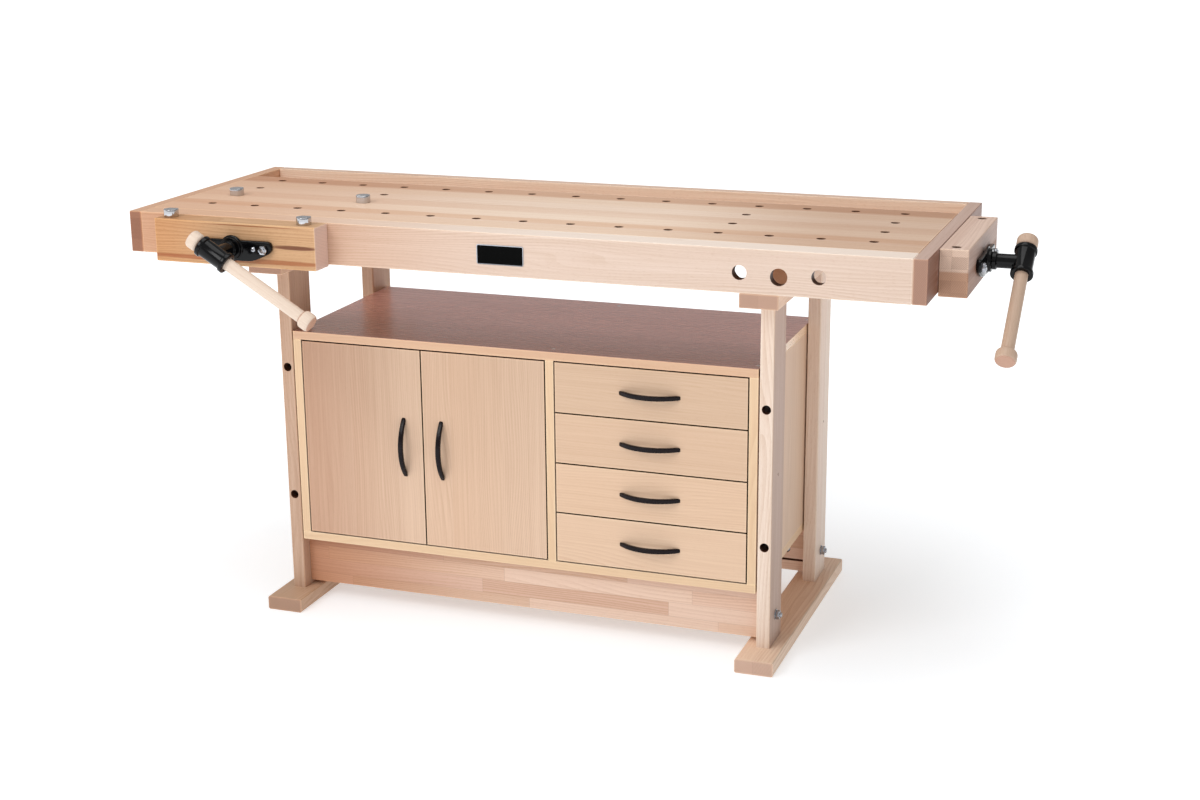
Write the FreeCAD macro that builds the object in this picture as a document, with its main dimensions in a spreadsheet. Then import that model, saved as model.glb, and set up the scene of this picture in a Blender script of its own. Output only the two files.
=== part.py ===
import FreeCAD, Part
import math
import os
import re

import Sketcher

# A woodworking bench with two screw vises, bench dogs, a tool tray and a cabinet under the top.
# The bench stands on z = 0 with its front towards -Y. Every piece is written in bench coordinates,
# where x = 0 and y = 0 are the middle of the worktop, and the whole bench is then shifted so that
# the origin lies under the middle of its outer box, vise handles included.

# Driving dimensions, in millimetres, degrees or counts.
SIZES = {
    # worktop
    "top_length": 1700,
    "top_depth": 625,
    "bench_height": 870,
    "apron_height": 87,
    "apron_thickness": 56,
    "end_board": 28,
    "slab_thickness": 30,
    "tray_width": 112,
    "tray_depth": 52,
    "tray_panel": 9,
    "tray_rail": 20,
    "back_board": 28,
    "tray_groove": 8,
    "tray_groove_play": 0.2,
    "wood_ease": 1.2,
    "seam_ease": 0.3,
    # dog holes: columns along the bench, rows across it
    "dog_hole": 19,
    "dog_columns": 15,
    "dog_pitch": 103.5,
    "dog_row_pitch": 102.9,
    "dog_rows": 4,
    "dog_shift": 4,
    "front_row_setback": 136.2,
    "inner_column_gap": 3,
    "inner_column_reach": 11,
    # holes through the apron, for pegs and hold-downs
    "apron_small_hole": 29,
    "apron_large_hole": 34,
    "apron_hole_x": 568.8,
    "apron_hole_pitch": 77.2,
    "apron_hole_drop": 47.2,
    "apron_large_drop": 51.6,
    "apron_hole_wall": 22,
    "apron_hole_relief": 22,
    # trestles
    "trestle_spread": 1061,
    "foot_width": 80,
    "foot_height": 30,
    "foot_length": 622,
    "foot_ease": 4,
    "leg_thickness": 29,
    "leg_width": 91,
    "leg_set": 482,
    "beam_width": 78,
    "beam_height": 29,
    "tenon_length": 20,
    "tenon_width": 60,
    "tenon_thickness": 12,
    "tenon_play": 0.2,
    "leg_ease": 3,
    "leg_hole": 19,
    "leg_hole_low": 247,
    "leg_hole_high": 535,
    # stretchers and the bolts that draw them to the legs
    "stretcher_height": 107,
    "stretcher_thickness": 30,
    "stretcher_rise": 39,
    "stretcher_setback": 28,
    "stretcher_groove": 5,
    "stretcher_groove_depth": 6,
    "stretcher_groove_rise": 23,
    "bolt_size": 10,
    "bolt_play": 0.5,
    "bolt_rise": 50,
    "bolt_bury": 58,
    "bolt_tail": 14,
    "washer_size": 22,
    "washer_thickness": 2,
    "nut_flats": 17,
    "nut_height": 8,
    "thread_play": 0.05,
    "cross_nut": 16,
    "cross_nut_length": 24,
    "cross_nut_inset": 45,
    # what both vises share
    "screw_size": 24,
    "screw_lead": 6,
    "vise_turns": 23.25,
    "screw_tail": 5,
    "collar_size": 34,
    "collar_width": 6,
    "collar_play": 0.3,
    "spigot_size": 18,
    "spigot_length": 30,
    "fit_play": 0.08,
    "screw_hole_play": 1,
    "plate_length": 181,
    "plate_rise": 17,
    "plate_fall": 26,
    "plate_end_fall": 6,
    "plate_flat": 90,
    "plate_thickness": 10,
    "plate_corner": 11,
    "boss_size": 46,
    "boss_height": 8,
    "nut_boss_size": 40,
    "nut_boss_length": 36,
    "rod_size": 16,
    "rod_spread": 148,
    "rod_tip": 12,
    "rod_nut_flats": 17,
    "rod_nut_height": 7,
    "rod_proud": 2,
    "rod_hole_play": 0.4,
    "rod_spare": 20,
    "plate_screw_spread": 99,
    "plate_screw_head": 11,
    "plate_screw_head_height": 3.5,
    "plate_screw_shank": 5,
    "plate_screw_length": 25,
    "pilot_play": 1,
    "hub_reach": 79,
    "hub_length": 68,
    "hub_size": 39,
    "hub_rim": 45,
    "hub_rim_width": 9,
    "hub_neck": 29,
    "hub_collar": 36,
    "hub_collar_width": 9,
    "hub_play": 0.3,
    "bar_size": 26,
    "bar_play": 0.3,
    "knob_length": 28,
    "knob_ease": 7,
    "knob_socket": 18,
    "knob_socket_depth": 18,
    "handle_span": 257,
    # front vise
    "front_screw_x": 566.8,
    "front_screw_drop": 51,
    "front_jaw_length": 373,
    "front_jaw_height": 89.5,
    "front_jaw_thickness": 55,
    "front_jaw_gap": 0.5,
    "front_handle_tilt": 31.2,
    "front_knob": 38,
    # tail vise
    "tail_screw_y": 22,
    "tail_screw_drop": 54,
    "tail_jaw_length": 358,
    "tail_jaw_height": 92.5,
    "tail_jaw_thickness": 55.5,
    "tail_jaw_gap": 0.5,
    "tail_handle_tilt": 37.5,
    "tail_knob": 42,
    "jaw_drop": 0.8,
    # bench dogs
    "dog_shank_play": 0.08,
    "dog_shank": 80,
    "dog_head": 31,
    "dog_head_height": 16,
    "dog_head_flat": 3,
    "dog_ease": 0.8,
    "dog_seat": 0.2,
    # cabinet
    "cabinet_play": 2.5,
    "cabinet_height": 470.5,
    "cabinet_depth": 459,
    "panel": 18,
    "back_panel": 6,
    "divider_x": 73,
    "front_gap": 2.5,
    "panel_ease": 0.6,
    "shelf_setback": 40,
    "shelf_play": 0.5,
    "shelf_rise": 226,
    "pin_size": 5,
    "pin_bury": 8,
    "pin_proud": 9,
    "pin_inset": 60,
    "panel_screw_head": 8,
    "panel_screw_head_height": 3,
    "panel_screw_shank": 4,
    "panel_screw_length": 38,
    "panel_screw_inset": 27,
    # screws through the legs into the cabinet
    "fixing_rise": 390,
    "fixing_head": 5.6,
    "fixing_head_height": 3,
    "fixing_shank": 3.5,
    "fixing_play": 0.2,
    "fixing_sink": 6,
    "fixing_grip": 14,
    # doors
    "hinge_cup": 35,
    "hinge_cup_depth": 11.5,
    "hinge_cup_inset": 22,
    "hinge_cup_play": 0.2,
    "hinge_flange": 2,
    "hinge_flange_height": 62,
    "hinge_flange_width": 14,
    "hinge_rise": 80,
    "hinge_arm_width": 14,
    "hinge_arm_length": 60,
    "hinge_arm_height": 10,
    "hinge_seat": 0.3,
    # drawers
    "drawer_count": 4,
    "runner_space": 6,
    "runner_gauge": 2,
    "runner_height": 30,
    "runner_lip": 14,
    "runner_setback": 3,
    "runner_seat": 0.3,
    "box_rear_space": 35,
    "box_height": 80,
    "box_board": 12,
    "box_bottom": 4,
    "box_bottom_rise": 6,
    "box_rise": 14,
    # bow handles
    "bow_length": 132,
    "bow_foot": 11,
    "bow_rise": 25,
    "bow_gauge": 8,
    "bow_width": 10,
    "bow_ease": 3,
    "bow_inset": 42,
}

# Places and lengths that follow from the driving dimensions, each an expression on them.
DERIVED = {
    # the shift from bench coordinates to the middle of the outer box
    "origin_x": "(tail_jaw_gap + tail_jaw_thickness + hub_reach + hub_rim / 2) / 2",
    "origin_y": "0 - (front_jaw_gap + front_jaw_thickness + hub_reach + hub_rim / 2) / 2",
    # worktop
    "top_front": "0 - top_depth / 2",
    "top_left": "0 - top_length / 2",
    "core_left": "top_left + end_board",
    "core_length": "top_length - 2 * end_board",
    "apron_low": "bench_height - apron_height",
    "slab_front": "top_front + apron_thickness",
    "slab_depth": "top_depth - apron_thickness - tray_width - back_board",
    "slab_back": "slab_front + slab_depth",
    "slab_low": "bench_height - slab_thickness",
    "tray_back": "slab_back + tray_width",
    "tray_floor": "bench_height - tray_depth",
    "tray_rail_height": "apron_height - slab_thickness",
    "first_column": "0 - dog_shift - dog_pitch * (dog_columns - 1) / 2",
    "front_row": "top_front + front_row_setback",
    # trestles
    "foot_front": "0 - foot_length / 2",
    "leg_length": "apron_low - beam_height - foot_height",
    "leg_front": "0 - leg_set / 2",
    "beam_low": "apron_low - beam_height",
    "leg_inner": "trestle_spread / 2 - leg_thickness / 2",
    "stretcher_length": "2 * leg_inner",
    "stretcher_front": "leg_front + stretcher_setback",
    "stretcher_middle": "stretcher_front + stretcher_thickness / 2",
    "stretcher_top": "stretcher_rise + stretcher_height",
    # vises
    "front_screw_z": "bench_height - front_screw_drop",
    "tail_screw_z": "bench_height - tail_screw_drop",
    "vise_travel": "screw_lead * vise_turns",
    # cabinet
    "cabinet_width": "stretcher_length - 2 * cabinet_play",
    "cabinet_left": "0 - cabinet_width / 2",
    "cabinet_low": "stretcher_top",
    "cabinet_top": "cabinet_low + cabinet_height",
    "cabinet_front": "leg_front",
    "side_height": "cabinet_height - 2 * panel",
    "inner_low": "cabinet_low + panel",
    "inner_left": "cabinet_left + panel",
    "inner_depth": "cabinet_depth - back_panel",
    "divider_left": "divider_x - panel / 2",
    "divider_right": "divider_x + panel / 2",
    "face_low": "inner_low + front_gap",
    "face_height": "side_height - 2 * front_gap",
    "face_back": "cabinet_front + panel",
    "door_width": "(divider_left - inner_left - 3 * front_gap) / 2",
    "right_door_x": "inner_left + 2 * front_gap + door_width",
    "drawer_left": "divider_right + front_gap",
    "drawer_width": "0 - inner_left - divider_right - 2 * front_gap",
    "drawer_height": "(face_height - (drawer_count - 1) * front_gap) / drawer_count",
    "drawer_pitch": "drawer_height + front_gap",
    "box_length": "inner_depth - panel - box_rear_space",
    "box_left": "divider_right + runner_space",
    "box_width": "0 - inner_left - divider_right - 2 * runner_space",
}

WORD = re.compile(r"[a-z][a-z_0-9]*")

doc = FreeCAD.newDocument("workbench")
sheet = doc.addObject("Spreadsheet::Sheet", "sizes")
for row, (alias, number) in enumerate(SIZES.items(), start=1):
    sheet.set(f"A{row}", alias)
    sheet.set(f"B{row}", str(number))
    sheet.setAlias(f"B{row}", alias)
doc.recompute()

nodes = []


def bound(text):
    """The expression on the sheet's cells for a text that uses bare size names."""

    def cell(match):
        word = match[0]
        if word in DERIVED:
            return "(" + bound(DERIVED[word]) + ")"
        return "sizes." + word if word in SIZES else word

    return WORD.sub(cell, str(text))


def tie(thing, **values):
    """Binds properties to expressions; a double underscore in a name stands for a dot."""
    for path, text in values.items():
        thing.setExpression(path.replace("__", "."), bound(text))


def place(thing, x, y, z, turn=None):
    """Puts a piece at x, y, z after an optional turn of (axis, degrees)."""
    if turn:
        thing.Placement = FreeCAD.Placement(FreeCAD.Vector(), FreeCAD.Rotation(*turn))
    tie(thing, Placement__Base__x=x, Placement__Base__y=y, Placement__Base__z=z)


def keep(thing, x="0", y="0", z="0", turn=None):
    """Makes a piece a node of its own: placed from bench coordinates, and written to a file."""
    place(thing, f"{x} - origin_x", f"{y} - origin_y", z, turn)
    nodes.append(thing)
    return thing


X_AXIS = FreeCAD.Vector(1, 0, 0)
Y_AXIS = FreeCAD.Vector(0, 1, 0)
Z_AXIS = FreeCAD.Vector(0, 0, 1)
# turns that lay a primitive's own +Z along another axis
ALONG = {
    "+x": (Y_AXIS, 90),
    "-x": (Y_AXIS, -90),
    "+y": (X_AXIS, -90),
    "-y": (X_AXIS, 90),
    "+z": (Z_AXIS, 0),
    "-z": (X_AXIS, 180),
}


# ---------------------------------------------------------------- sketches and features


def new_body(label):
    return doc.addObject("PartDesign::Body", label)


def new_sketch(body, plane, offset="0", tilt=None):
    """A sketch on one of the body's origin planes, moved along its normal, with an optional tilt
    of (axis in the plane's own frame, expression in degrees)."""
    sketch = body.newObject("Sketcher::SketchObject", f"{body.Label}_outline")
    origin_plane = next(f for f in body.Origin.OriginFeatures if f.Role == plane)
    sketch.AttachmentSupport = [(origin_plane, "")]
    sketch.MapMode = "FlatFace"
    if tilt:
        axis, degrees = tilt
        sketch.AttachmentOffset = FreeCAD.Placement(FreeCAD.Vector(), FreeCAD.Rotation(axis, 1))
        tie(sketch, AttachmentOffset__Rotation__Angle=degrees)
    tie(sketch, AttachmentOffset__Base__z=offset)
    return sketch


def pin_point(sketch, element, point, x, y, start=(1.0, 1.0)):
    """Holds one point of a sketch at x, y from the sketch's origin; start is where it is drawn first."""
    for kind, text, first in (("DistanceX", x, start[0]), ("DistanceY", y, start[1])):
        number = sketch.addConstraint(Sketcher.Constraint(kind, -1, 1, element, point, first))
        sketch.setExpression(f"Constraints[{number}]", bound(text))


def polygon(sketch, corners):
    """A closed outline of straight lines through corners, each a pair of expressions."""
    count = len(corners)
    first = sketch.GeometryCount
    for k in range(count):
        start, end = (2 * math.pi * j / count for j in (k, k + 1))
        line = Part.LineSegment(
            FreeCAD.Vector(math.cos(start), math.sin(start), 0),
            FreeCAD.Vector(math.cos(end), math.sin(end), 0),
        )
        sketch.addGeometry(line)
    for k in range(count):
        following = first + (k + 1) % count
        sketch.addConstraint(Sketcher.Constraint("Coincident", first + k, 2, following, 1))
    for k, (x, y) in enumerate(corners):
        pin_point(sketch, first + k, 1, x, y)


def rectangle(sketch, x, y, width, height):
    """A rectangle from its lowest corner."""
    right = f"{x} + {width}"
    top = f"{y} + {height}"
    polygon(sketch, [(x, y), (right, y), (right, top), (x, top)])


def circle(sketch, x, y, diameter):
    element = sketch.addGeometry(Part.Circle(FreeCAD.Vector(0, 0, 0), Z_AXIS, 5))
    pin_point(sketch, element, 3, x, y)
    number = sketch.addConstraint(Sketcher.Constraint("Diameter", element, 10.0))
    sketch.setExpression(f"Constraints[{number}]", bound(diameter))


def pad(body, sketch, length, both_ways=False, backwards=False):
    feature = body.newObject("PartDesign::Pad", f"{body.Label}_pad")
    feature.Profile = sketch
    feature.Midplane = both_ways
    feature.Reversed = backwards
    tie(feature, Length=length)
    sketch.Visibility = False
    body.Tip = feature
    return feature


def pocket(body, sketch, depth=None, backwards=False):
    """A cut to a depth, or right through both ways where no depth is given."""
    feature = body.newObject("PartDesign::Pocket", f"{body.Label}_pocket")
    feature.Profile = sketch
    feature.Reversed = backwards
    if depth is None:
        feature.Type = "ThroughAll"
        feature.Midplane = True
    else:
        feature.Type = "Length"
        tie(feature, Length=depth)
    body.Tip = feature
    return feature


def revolve(body, sketch, axis):
    """A full turn of a sketch about one of its own axes, H_Axis or V_Axis."""
    feature = body.newObject("PartDesign::Revolution", f"{body.Label}_turned")
    feature.Profile = sketch
    feature.ReferenceAxis = (sketch, [axis])
    feature.Angle = 360
    body.Tip = feature
    return feature


def ease(body, kind, size, edges=None):
    """Chamfers or fillets all edges of a body so far, or only those that a test picks."""
    doc.recompute()
    tip = body.Tip
    feature = body.newObject(f"PartDesign::{kind}", f"{body.Label}_ease")
    if edges is None:
        feature.Base = (tip, ["Edge1"])
        feature.UseAllEdges = True
    else:
        names = [f"Edge{k}" for k, edge in enumerate(tip.Shape.Edges, start=1) if edges(edge)]
        feature.Base = (tip, names)
    tie(feature, **{"Radius" if kind == "Fillet" else "Size": size})
    body.Tip = feature


def board(label, length, depth, height, chamfer=None):
    """A rectangular board from its own lowest corner, with its edges taken off."""
    body = new_body(label)
    sketch = new_sketch(body, "XY_Plane")
    rectangle(sketch, "0", "0", length, depth)
    pad(body, sketch, height)
    if chamfer:
        ease(body, "Chamfer", chamfer)
    return body


def drill(body, plane, holes, depth=None, offset="0", backwards=False):
    """Round holes, each (x, y, diameter) in the plane's own axes."""
    sketch = new_sketch(body, plane, offset)
    for x, y, diameter in holes:
        circle(sketch, x, y, diameter)
    return pocket(body, sketch, depth, backwards)


def notch(body, plane, x, y, width, height, depth=None, offset="0", backwards=False):
    """A rectangular cut."""
    sketch = new_sketch(body, plane, offset)
    rectangle(sketch, x, y, width, height)
    return pocket(body, sketch, depth, backwards)


# ---------------------------------------------------------------- plain hardware


def cylinder(label, diameter, length, x, y, z, along="+z"):
    piece = doc.addObject("Part::Cylinder", label)
    tie(piece, Radius=f"({diameter}) / 2", Height=length)
    place(piece, x, y, z, ALONG[along])
    return piece


def hexagon(label, flats, height, x, y, z, along="+z"):
    piece = doc.addObject("Part::Prism", label)
    piece.Polygon = 6
    tie(piece, Circumradius=f"({flats}) / sqrt(3)", Height=height)
    place(piece, x, y, z, ALONG[along])
    return piece


def bored(label, solid, *holes):
    """A primitive less one or more others."""
    for k, hole in enumerate(holes):
        piece = doc.addObject("Part::Cut", label if k == len(holes) - 1 else f"{label}_{k}")
        piece.Base = solid
        piece.Tool = hole
        solid = piece
    return solid


def joined(label, *solids):
    """Primitives fused into one solid."""
    piece = doc.addObject("Part::MultiFuse", label)
    piece.Shapes = list(solids)
    return piece


def group(label, members):
    """Separate solids that share one node."""
    piece = doc.addObject("Part::Compound", label)
    piece.Links = members
    return piece


def block(label, length, depth, height, x, y, z):
    piece = doc.addObject("Part::Box", label)
    tie(piece, Length=length, Width=depth, Height=height)
    place(piece, x, y, z)
    return piece


def wood_screw(label, head, head_height, shank, length, x, y, z, along):
    """A screw with a flat round head; x, y, z is the top of the head, and along points into the wood."""
    steps = {"+x": (1, 0, 0), "-x": (-1, 0, 0), "+y": (0, 1, 0), "-y": (0, -1, 0), "-z": (0, 0, -1)}
    under = [f"{at} + {step} * {head_height}" for at, step in zip((x, y, z), steps[along])]
    top = cylinder(f"{label}_head", head, head_height, x, y, z, along)
    stem = cylinder(f"{label}_shank", shank, f"{length} - {head_height}", *under, along)
    return joined(label, top, stem)


# ---------------------------------------------------------------- worktop


# how far a plate screw goes into the wood, with room at its tip
PILOT_DEPTH = "plate_screw_length - plate_thickness + pilot_play"


def repeat(body, feature, count, reach):
    """Repeats a feature along the body's own X."""
    pattern = body.newObject("PartDesign::LinearPattern", f"{body.Label}_row")
    pattern.Originals = [feature]
    pattern.Direction = (feature.Profile[0], ["H_Axis"])
    tie(pattern, Occurrences=count, Length=reach)
    body.Tip = pattern


def worktop():
    slab = board("top_slab", "core_length", "slab_depth", "slab_thickness", "seam_ease")
    column = "first_column - core_left"
    row = "front_row - slab_front"
    outer_rows = (row, f"{row} + (dog_rows - 1) * dog_row_pitch")
    outer = drill(slab, "XY_Plane", [(column, y, "dog_hole") for y in outer_rows])
    repeat(slab, outer, "dog_columns", "(dog_columns - 1) * dog_pitch")
    inner_columns = (column, f"{column} + inner_column_gap * dog_pitch")
    inner_rows = (f"{row} + dog_row_pitch", f"{row} + (dog_rows - 2) * dog_row_pitch")
    inner = drill(slab, "XY_Plane", [(x, y, "dog_hole") for x in inner_columns for y in inner_rows])
    repeat(slab, inner, "2", "inner_column_reach * dog_pitch")
    keep(slab, "core_left", "slab_front", "slab_low")

    apron = board("front_apron", "core_length", "apron_thickness", "apron_height", "wood_ease")
    middle = "apron_hole_x - core_left"
    small_z = "apron_height - apron_hole_drop"
    pegs = [
        (f"{middle} - apron_hole_pitch", small_z, "apron_small_hole"),
        (middle, "apron_height - apron_large_drop", "apron_large_hole"),
        (f"{middle} + apron_hole_pitch", small_z, "apron_small_hole"),
    ]
    drill(apron, "XZ_Plane", pegs)
    relief = [(x, z, f"{wide} + apron_hole_relief") for x, z, wide in pegs]
    relief_depth = "apron_thickness - apron_hole_wall"
    drill(apron, "XZ_Plane", relief, relief_depth, "0 - apron_thickness", True)
    screw_x = "0 - front_screw_x - core_left"
    vise_holes(apron, "front", "XZ_Plane", screw_x, "0 - apron_thickness", True)
    keep(apron, "core_left", "top_front", "apron_low")

    left = board("left_end_board", "end_board", "top_depth", "apron_height", "wood_ease")
    keep(left, "top_left", "top_front", "apron_low")
    right = board("right_end_board", "end_board", "top_depth", "apron_height", "wood_ease")
    vise_holes(right, "tail", "YZ_Plane", "0 - tail_screw_y - top_front", "0", True)
    keep(right, "core_left + core_length", "top_front", "apron_low")

    groove_z = "tray_floor - tray_panel - tray_groove_play - apron_low"
    groove_height = "tray_panel + 2 * tray_groove_play"
    back = board("tray_back_board", "core_length", "back_board", "apron_height", "wood_ease")
    notch(back, "XZ_Plane", "0", groove_z, "core_length", groove_height, "tray_groove")
    keep(back, "core_left", "tray_back", "apron_low")

    rail = board("tray_rail", "core_length", "tray_rail", "tray_rail_height", "seam_ease")
    groove = ("0", groove_z, "core_length", groove_height, "tray_groove")
    notch(rail, "XZ_Plane", *groove, "0 - tray_rail", True)
    place(rail, "core_left", "slab_back - tray_rail", "apron_low")
    overlap = "tray_groove - tray_groove_play"
    panel = board("tray_panel", "core_length", f"tray_width + 2 * ({overlap})", "tray_panel")
    place(panel, "core_left", f"slab_back - ({overlap})", "tray_floor - tray_panel")
    keep(group("tray_floor", [panel, rail]))


def vise_holes(body, side, plane, across, face, forwards):
    """Clearance holes for a vise's screw and rods through its wall, and pilot holes for the screws
    that hold the nut bracket on the wall's inner face."""
    height = f"{side}_screw_z - apron_low"
    half_rods = "rod_spread / 2"
    rod_hole = "rod_size + 2 * rod_hole_play"
    through = [(across, height, "screw_size + 2 * screw_hole_play")]
    through += [(f"{across} {sign} {half_rods}", height, rod_hole) for sign in "-+"]
    drill(body, plane, through)
    pilots = [(f"{across} {sign} plate_screw_spread / 2", height, "plate_screw_shank") for sign in "-+"]
    drill(body, plane, pilots, PILOT_DEPTH, face, forwards)


# ---------------------------------------------------------------- trestles


def trestles():
    for side, sign in (("left", "-1"), ("right", "1")):
        middle = f"{sign} * trestle_spread / 2"
        long_edge = parallel_to(Y_AXIS)
        foot = board(f"{side}_foot", "foot_width", "foot_length", "foot_height")
        ease(foot, "Fillet", "foot_ease", long_edge)
        mortises(foot, "foot_width", "foot_front", "foot_height", False)
        keep(foot, f"{middle} - foot_width / 2", "foot_front", "0")

        beam = board(f"{side}_top_beam", "beam_width", "top_depth", "beam_height", "wood_ease")
        mortises(beam, "beam_width", "top_front", "0", True)
        keep(beam, f"{middle} - beam_width / 2", "top_front", "beam_low")

        for end, leg_y, bolt_y in (
            ("front", "leg_front", "stretcher_middle - leg_front"),
            ("back", "0 - leg_front - leg_width", "leg_width - (stretcher_middle - leg_front)"),
        ):
            leg = board(f"{side}_{end}_leg", "leg_thickness", "leg_width", "leg_length")
            ease(leg, "Fillet", "leg_ease", parallel_to(Z_AXIS))
            for height, downwards in (("0", True), ("leg_length", False)):
                tenon = new_sketch(leg, "XY_Plane", height)
                tenon_x = "(leg_thickness - tenon_thickness) / 2"
                tenon_y = "(leg_width - tenon_width) / 2"
                rectangle(tenon, tenon_x, tenon_y, "tenon_thickness", "tenon_width")
                pad(leg, tenon, "tenon_length", backwards=downwards)
            if end == "front":
                heights = ("leg_hole_low - foot_height", "leg_hole_high - foot_height")
                drill(leg, "XZ_Plane", [("leg_thickness / 2", z, "leg_hole") for z in heights])
            bolt_z = "stretcher_rise + bolt_rise - foot_height"
            fixing_z = "fixing_rise - foot_height"
            side_holes = [
                (bolt_y, bolt_z, "bolt_size + 2 * bolt_play"),
                ("leg_width / 2", fixing_z, "fixing_head + 2 * fixing_play"),
            ]
            drill(leg, "YZ_Plane", side_holes)
            keep(leg, f"{middle} - leg_thickness / 2", leg_y, "foot_height")


def parallel_to(axis):
    """A test for straight edges along an axis."""

    def matches(edge):
        run = edge.Vertexes[-1].Point - edge.Vertexes[0].Point
        return run.Length > 0 and abs(run.normalize().dot(axis)) > 0.999

    return matches


def mortises(body, width, front, height, upwards):
    """Two mortises for the leg tenons, cut from the face at a height."""
    cut = new_sketch(body, "XY_Plane", height)
    x = f"({width} - tenon_thickness) / 2 - tenon_play"
    inset = "(leg_width - tenon_width) / 2 - tenon_play"
    for leg_y in ("leg_front", "0 - leg_front - leg_width"):
        y = f"{leg_y} - {front} + {inset}"
        rectangle(cut, x, y, "tenon_thickness + 2 * tenon_play", "tenon_width + 2 * tenon_play")
    pocket(body, cut, "tenon_length + tenon_play", upwards)


# ---------------------------------------------------------------- stretchers and their bolts


def stretchers():
    hardware = []
    for end, front, inner, towards_inside in (
        ("front", "stretcher_front", "0 - stretcher_thickness", True),
        ("back", "0 - stretcher_front - stretcher_thickness", "0", False),
    ):
        box = ("stretcher_length", "stretcher_thickness", "stretcher_height")
        rail = board(f"{end}_stretcher", *box, "wood_ease")
        size = ("stretcher_length", "stretcher_groove", "stretcher_groove_depth")
        notch(rail, "XZ_Plane", "0", "stretcher_groove_rise", *size, inner, towards_inside)
        bolt_hole = [("stretcher_thickness / 2", "bolt_rise", "bolt_size + 2 * bolt_play")]
        drill(rail, "YZ_Plane", bolt_hole, "bolt_bury", "0", True)
        drill(rail, "YZ_Plane", bolt_hole, "bolt_bury", "stretcher_length", False)
        nut_x = ("cross_nut_inset", "stretcher_length - cross_nut_inset")
        nut_holes = [(x, "bolt_rise", "cross_nut + 2 * bolt_play") for x in nut_x]
        nut_depth = "(stretcher_thickness + cross_nut_length) / 2"
        drill(rail, "XZ_Plane", nut_holes, nut_depth, inner, towards_inside)
        keep(rail, "0 - leg_inner", front, "stretcher_rise")

        middle = f"{front} + stretcher_thickness / 2"
        for side, sign, outwards in (("left", "-1", "-x"), ("right", "1", "+x")):
            hardware += stretcher_bolt(f"{side}_{end}", sign, outwards, middle)
    keep(group("stretcher_bolts", hardware))


def stretcher_bolt(label, sign, outwards, y):
    """A bolt with its washer and nut outside the leg and its cross nut inside the stretcher."""
    z = "stretcher_rise + bolt_rise"
    leg_face = f"{sign} * (leg_inner + leg_thickness)"
    start = f"{sign} * (leg_inner - bolt_bury + bolt_play)"
    length = "bolt_bury - bolt_play + leg_thickness + bolt_tail"
    bolt = cylinder(f"{label}_bolt", "bolt_size", length, start, y, z, outwards)
    thread_hole = "bolt_size + 2 * thread_play"
    washer = bored(
        f"{label}_washer",
        cylinder(f"{label}_disc", "washer_size", "washer_thickness", leg_face, y, z, outwards),
        cylinder(f"{label}_disc_hole", thread_hole, "washer_thickness", leg_face, y, z, outwards),
    )
    nut_x = f"{leg_face} + {sign} * washer_thickness"
    nut = bored(
        f"{label}_nut",
        hexagon(f"{label}_hexagon", "nut_flats", "nut_height", nut_x, y, z, outwards),
        cylinder(f"{label}_nut_hole", thread_hole, "nut_height", nut_x, y, z, outwards),
    )
    cross_x = f"{sign} * (leg_inner - cross_nut_inset)"
    cross_y = f"{y} - cross_nut_length / 2"
    hole_x = f"{cross_x} - {sign} * cross_nut"
    cross = bored(
        f"{label}_cross_nut",
        cylinder(f"{label}_barrel", "cross_nut", "cross_nut_length", cross_x, cross_y, z, "+y"),
        cylinder(f"{label}_cross_hole", thread_hole, "2 * cross_nut", hole_x, y, z, outwards),
    )
    return [bolt, washer, nut, cross]


# ---------------------------------------------------------------- vises

# Each vise is written in a frame of its own: the screw's axis is the line x = 0, z = 0, the wall
# that the vise is mounted on has its outer face at y = 0, and the jaw opens towards -Y.


def vise(side, x, y, wall, turn, handle_turn, dog_places):
    face = f"({side}_jaw_gap + {side}_jaw_thickness)"
    here = {"x": x, "y": y, "z": f"{side}_screw_z", "turn": turn}
    keep(jaw(side, face, dog_places), **here)
    keep(outer_plate(side, face), **here)
    keep(vise_screw(side, face, wall), **here)
    keep(hub(side, face, handle_turn), **here)
    keep(handle(side, face, handle_turn), **here)
    keep(guide_rods(side, face, wall), **here)
    bracket = nut_bracket(side, wall)
    place(bracket, **here)
    return bracket


def jaw(side, face, dog_places):
    body = new_body(f"{side}_jaw")
    low = f"{side}_screw_drop - jaw_drop - {side}_jaw_height"
    outline = new_sketch(body, "XY_Plane", low)
    length = f"{side}_jaw_length"
    rectangle(outline, f"0 - {length} / 2", f"0 - {face}", length, f"{side}_jaw_thickness")
    pad(body, outline, f"{side}_jaw_height")
    ease(body, "Chamfer", "wood_ease")
    through = [("0", "0", "screw_size + 2 * screw_hole_play")]
    through += [(f"0 {sign} rod_spread / 2", "0", "rod_size + 2 * rod_hole_play") for sign in "-+"]
    drill(body, "XZ_Plane", through)
    recess = "collar_width + 2 * collar_play"
    drill(body, "XZ_Plane", [("0", "0", "collar_size + 2 * collar_play")], recess, face)
    pilots = [(f"0 {sign} plate_screw_spread / 2", "0", "plate_screw_shank") for sign in "-+"]
    drill(body, "XZ_Plane", pilots, PILOT_DEPTH, face)
    middle = f"0 - {side}_jaw_gap - {side}_jaw_thickness / 2"
    drill(body, "XY_Plane", [(at, middle, "dog_hole") for at in dog_places])
    return body


def plate_outline(body, face):
    """The cast plate: flat on top, with a lower edge that tapers to its round ends."""
    sketch = new_sketch(body, "XZ_Plane", face)
    end, flat = "plate_length / 2", "plate_flat / 2"
    right = [(end, "plate_rise"), (end, "0 - plate_end_fall"), (flat, "0 - plate_fall")]
    left = [(f"0 - {x}", z) for x, z in reversed(right)]
    polygon(sketch, right + left)
    pad(body, sketch, "plate_thickness")
    ease(body, "Fillet", "plate_corner", parallel_to(Y_AXIS))


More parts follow.
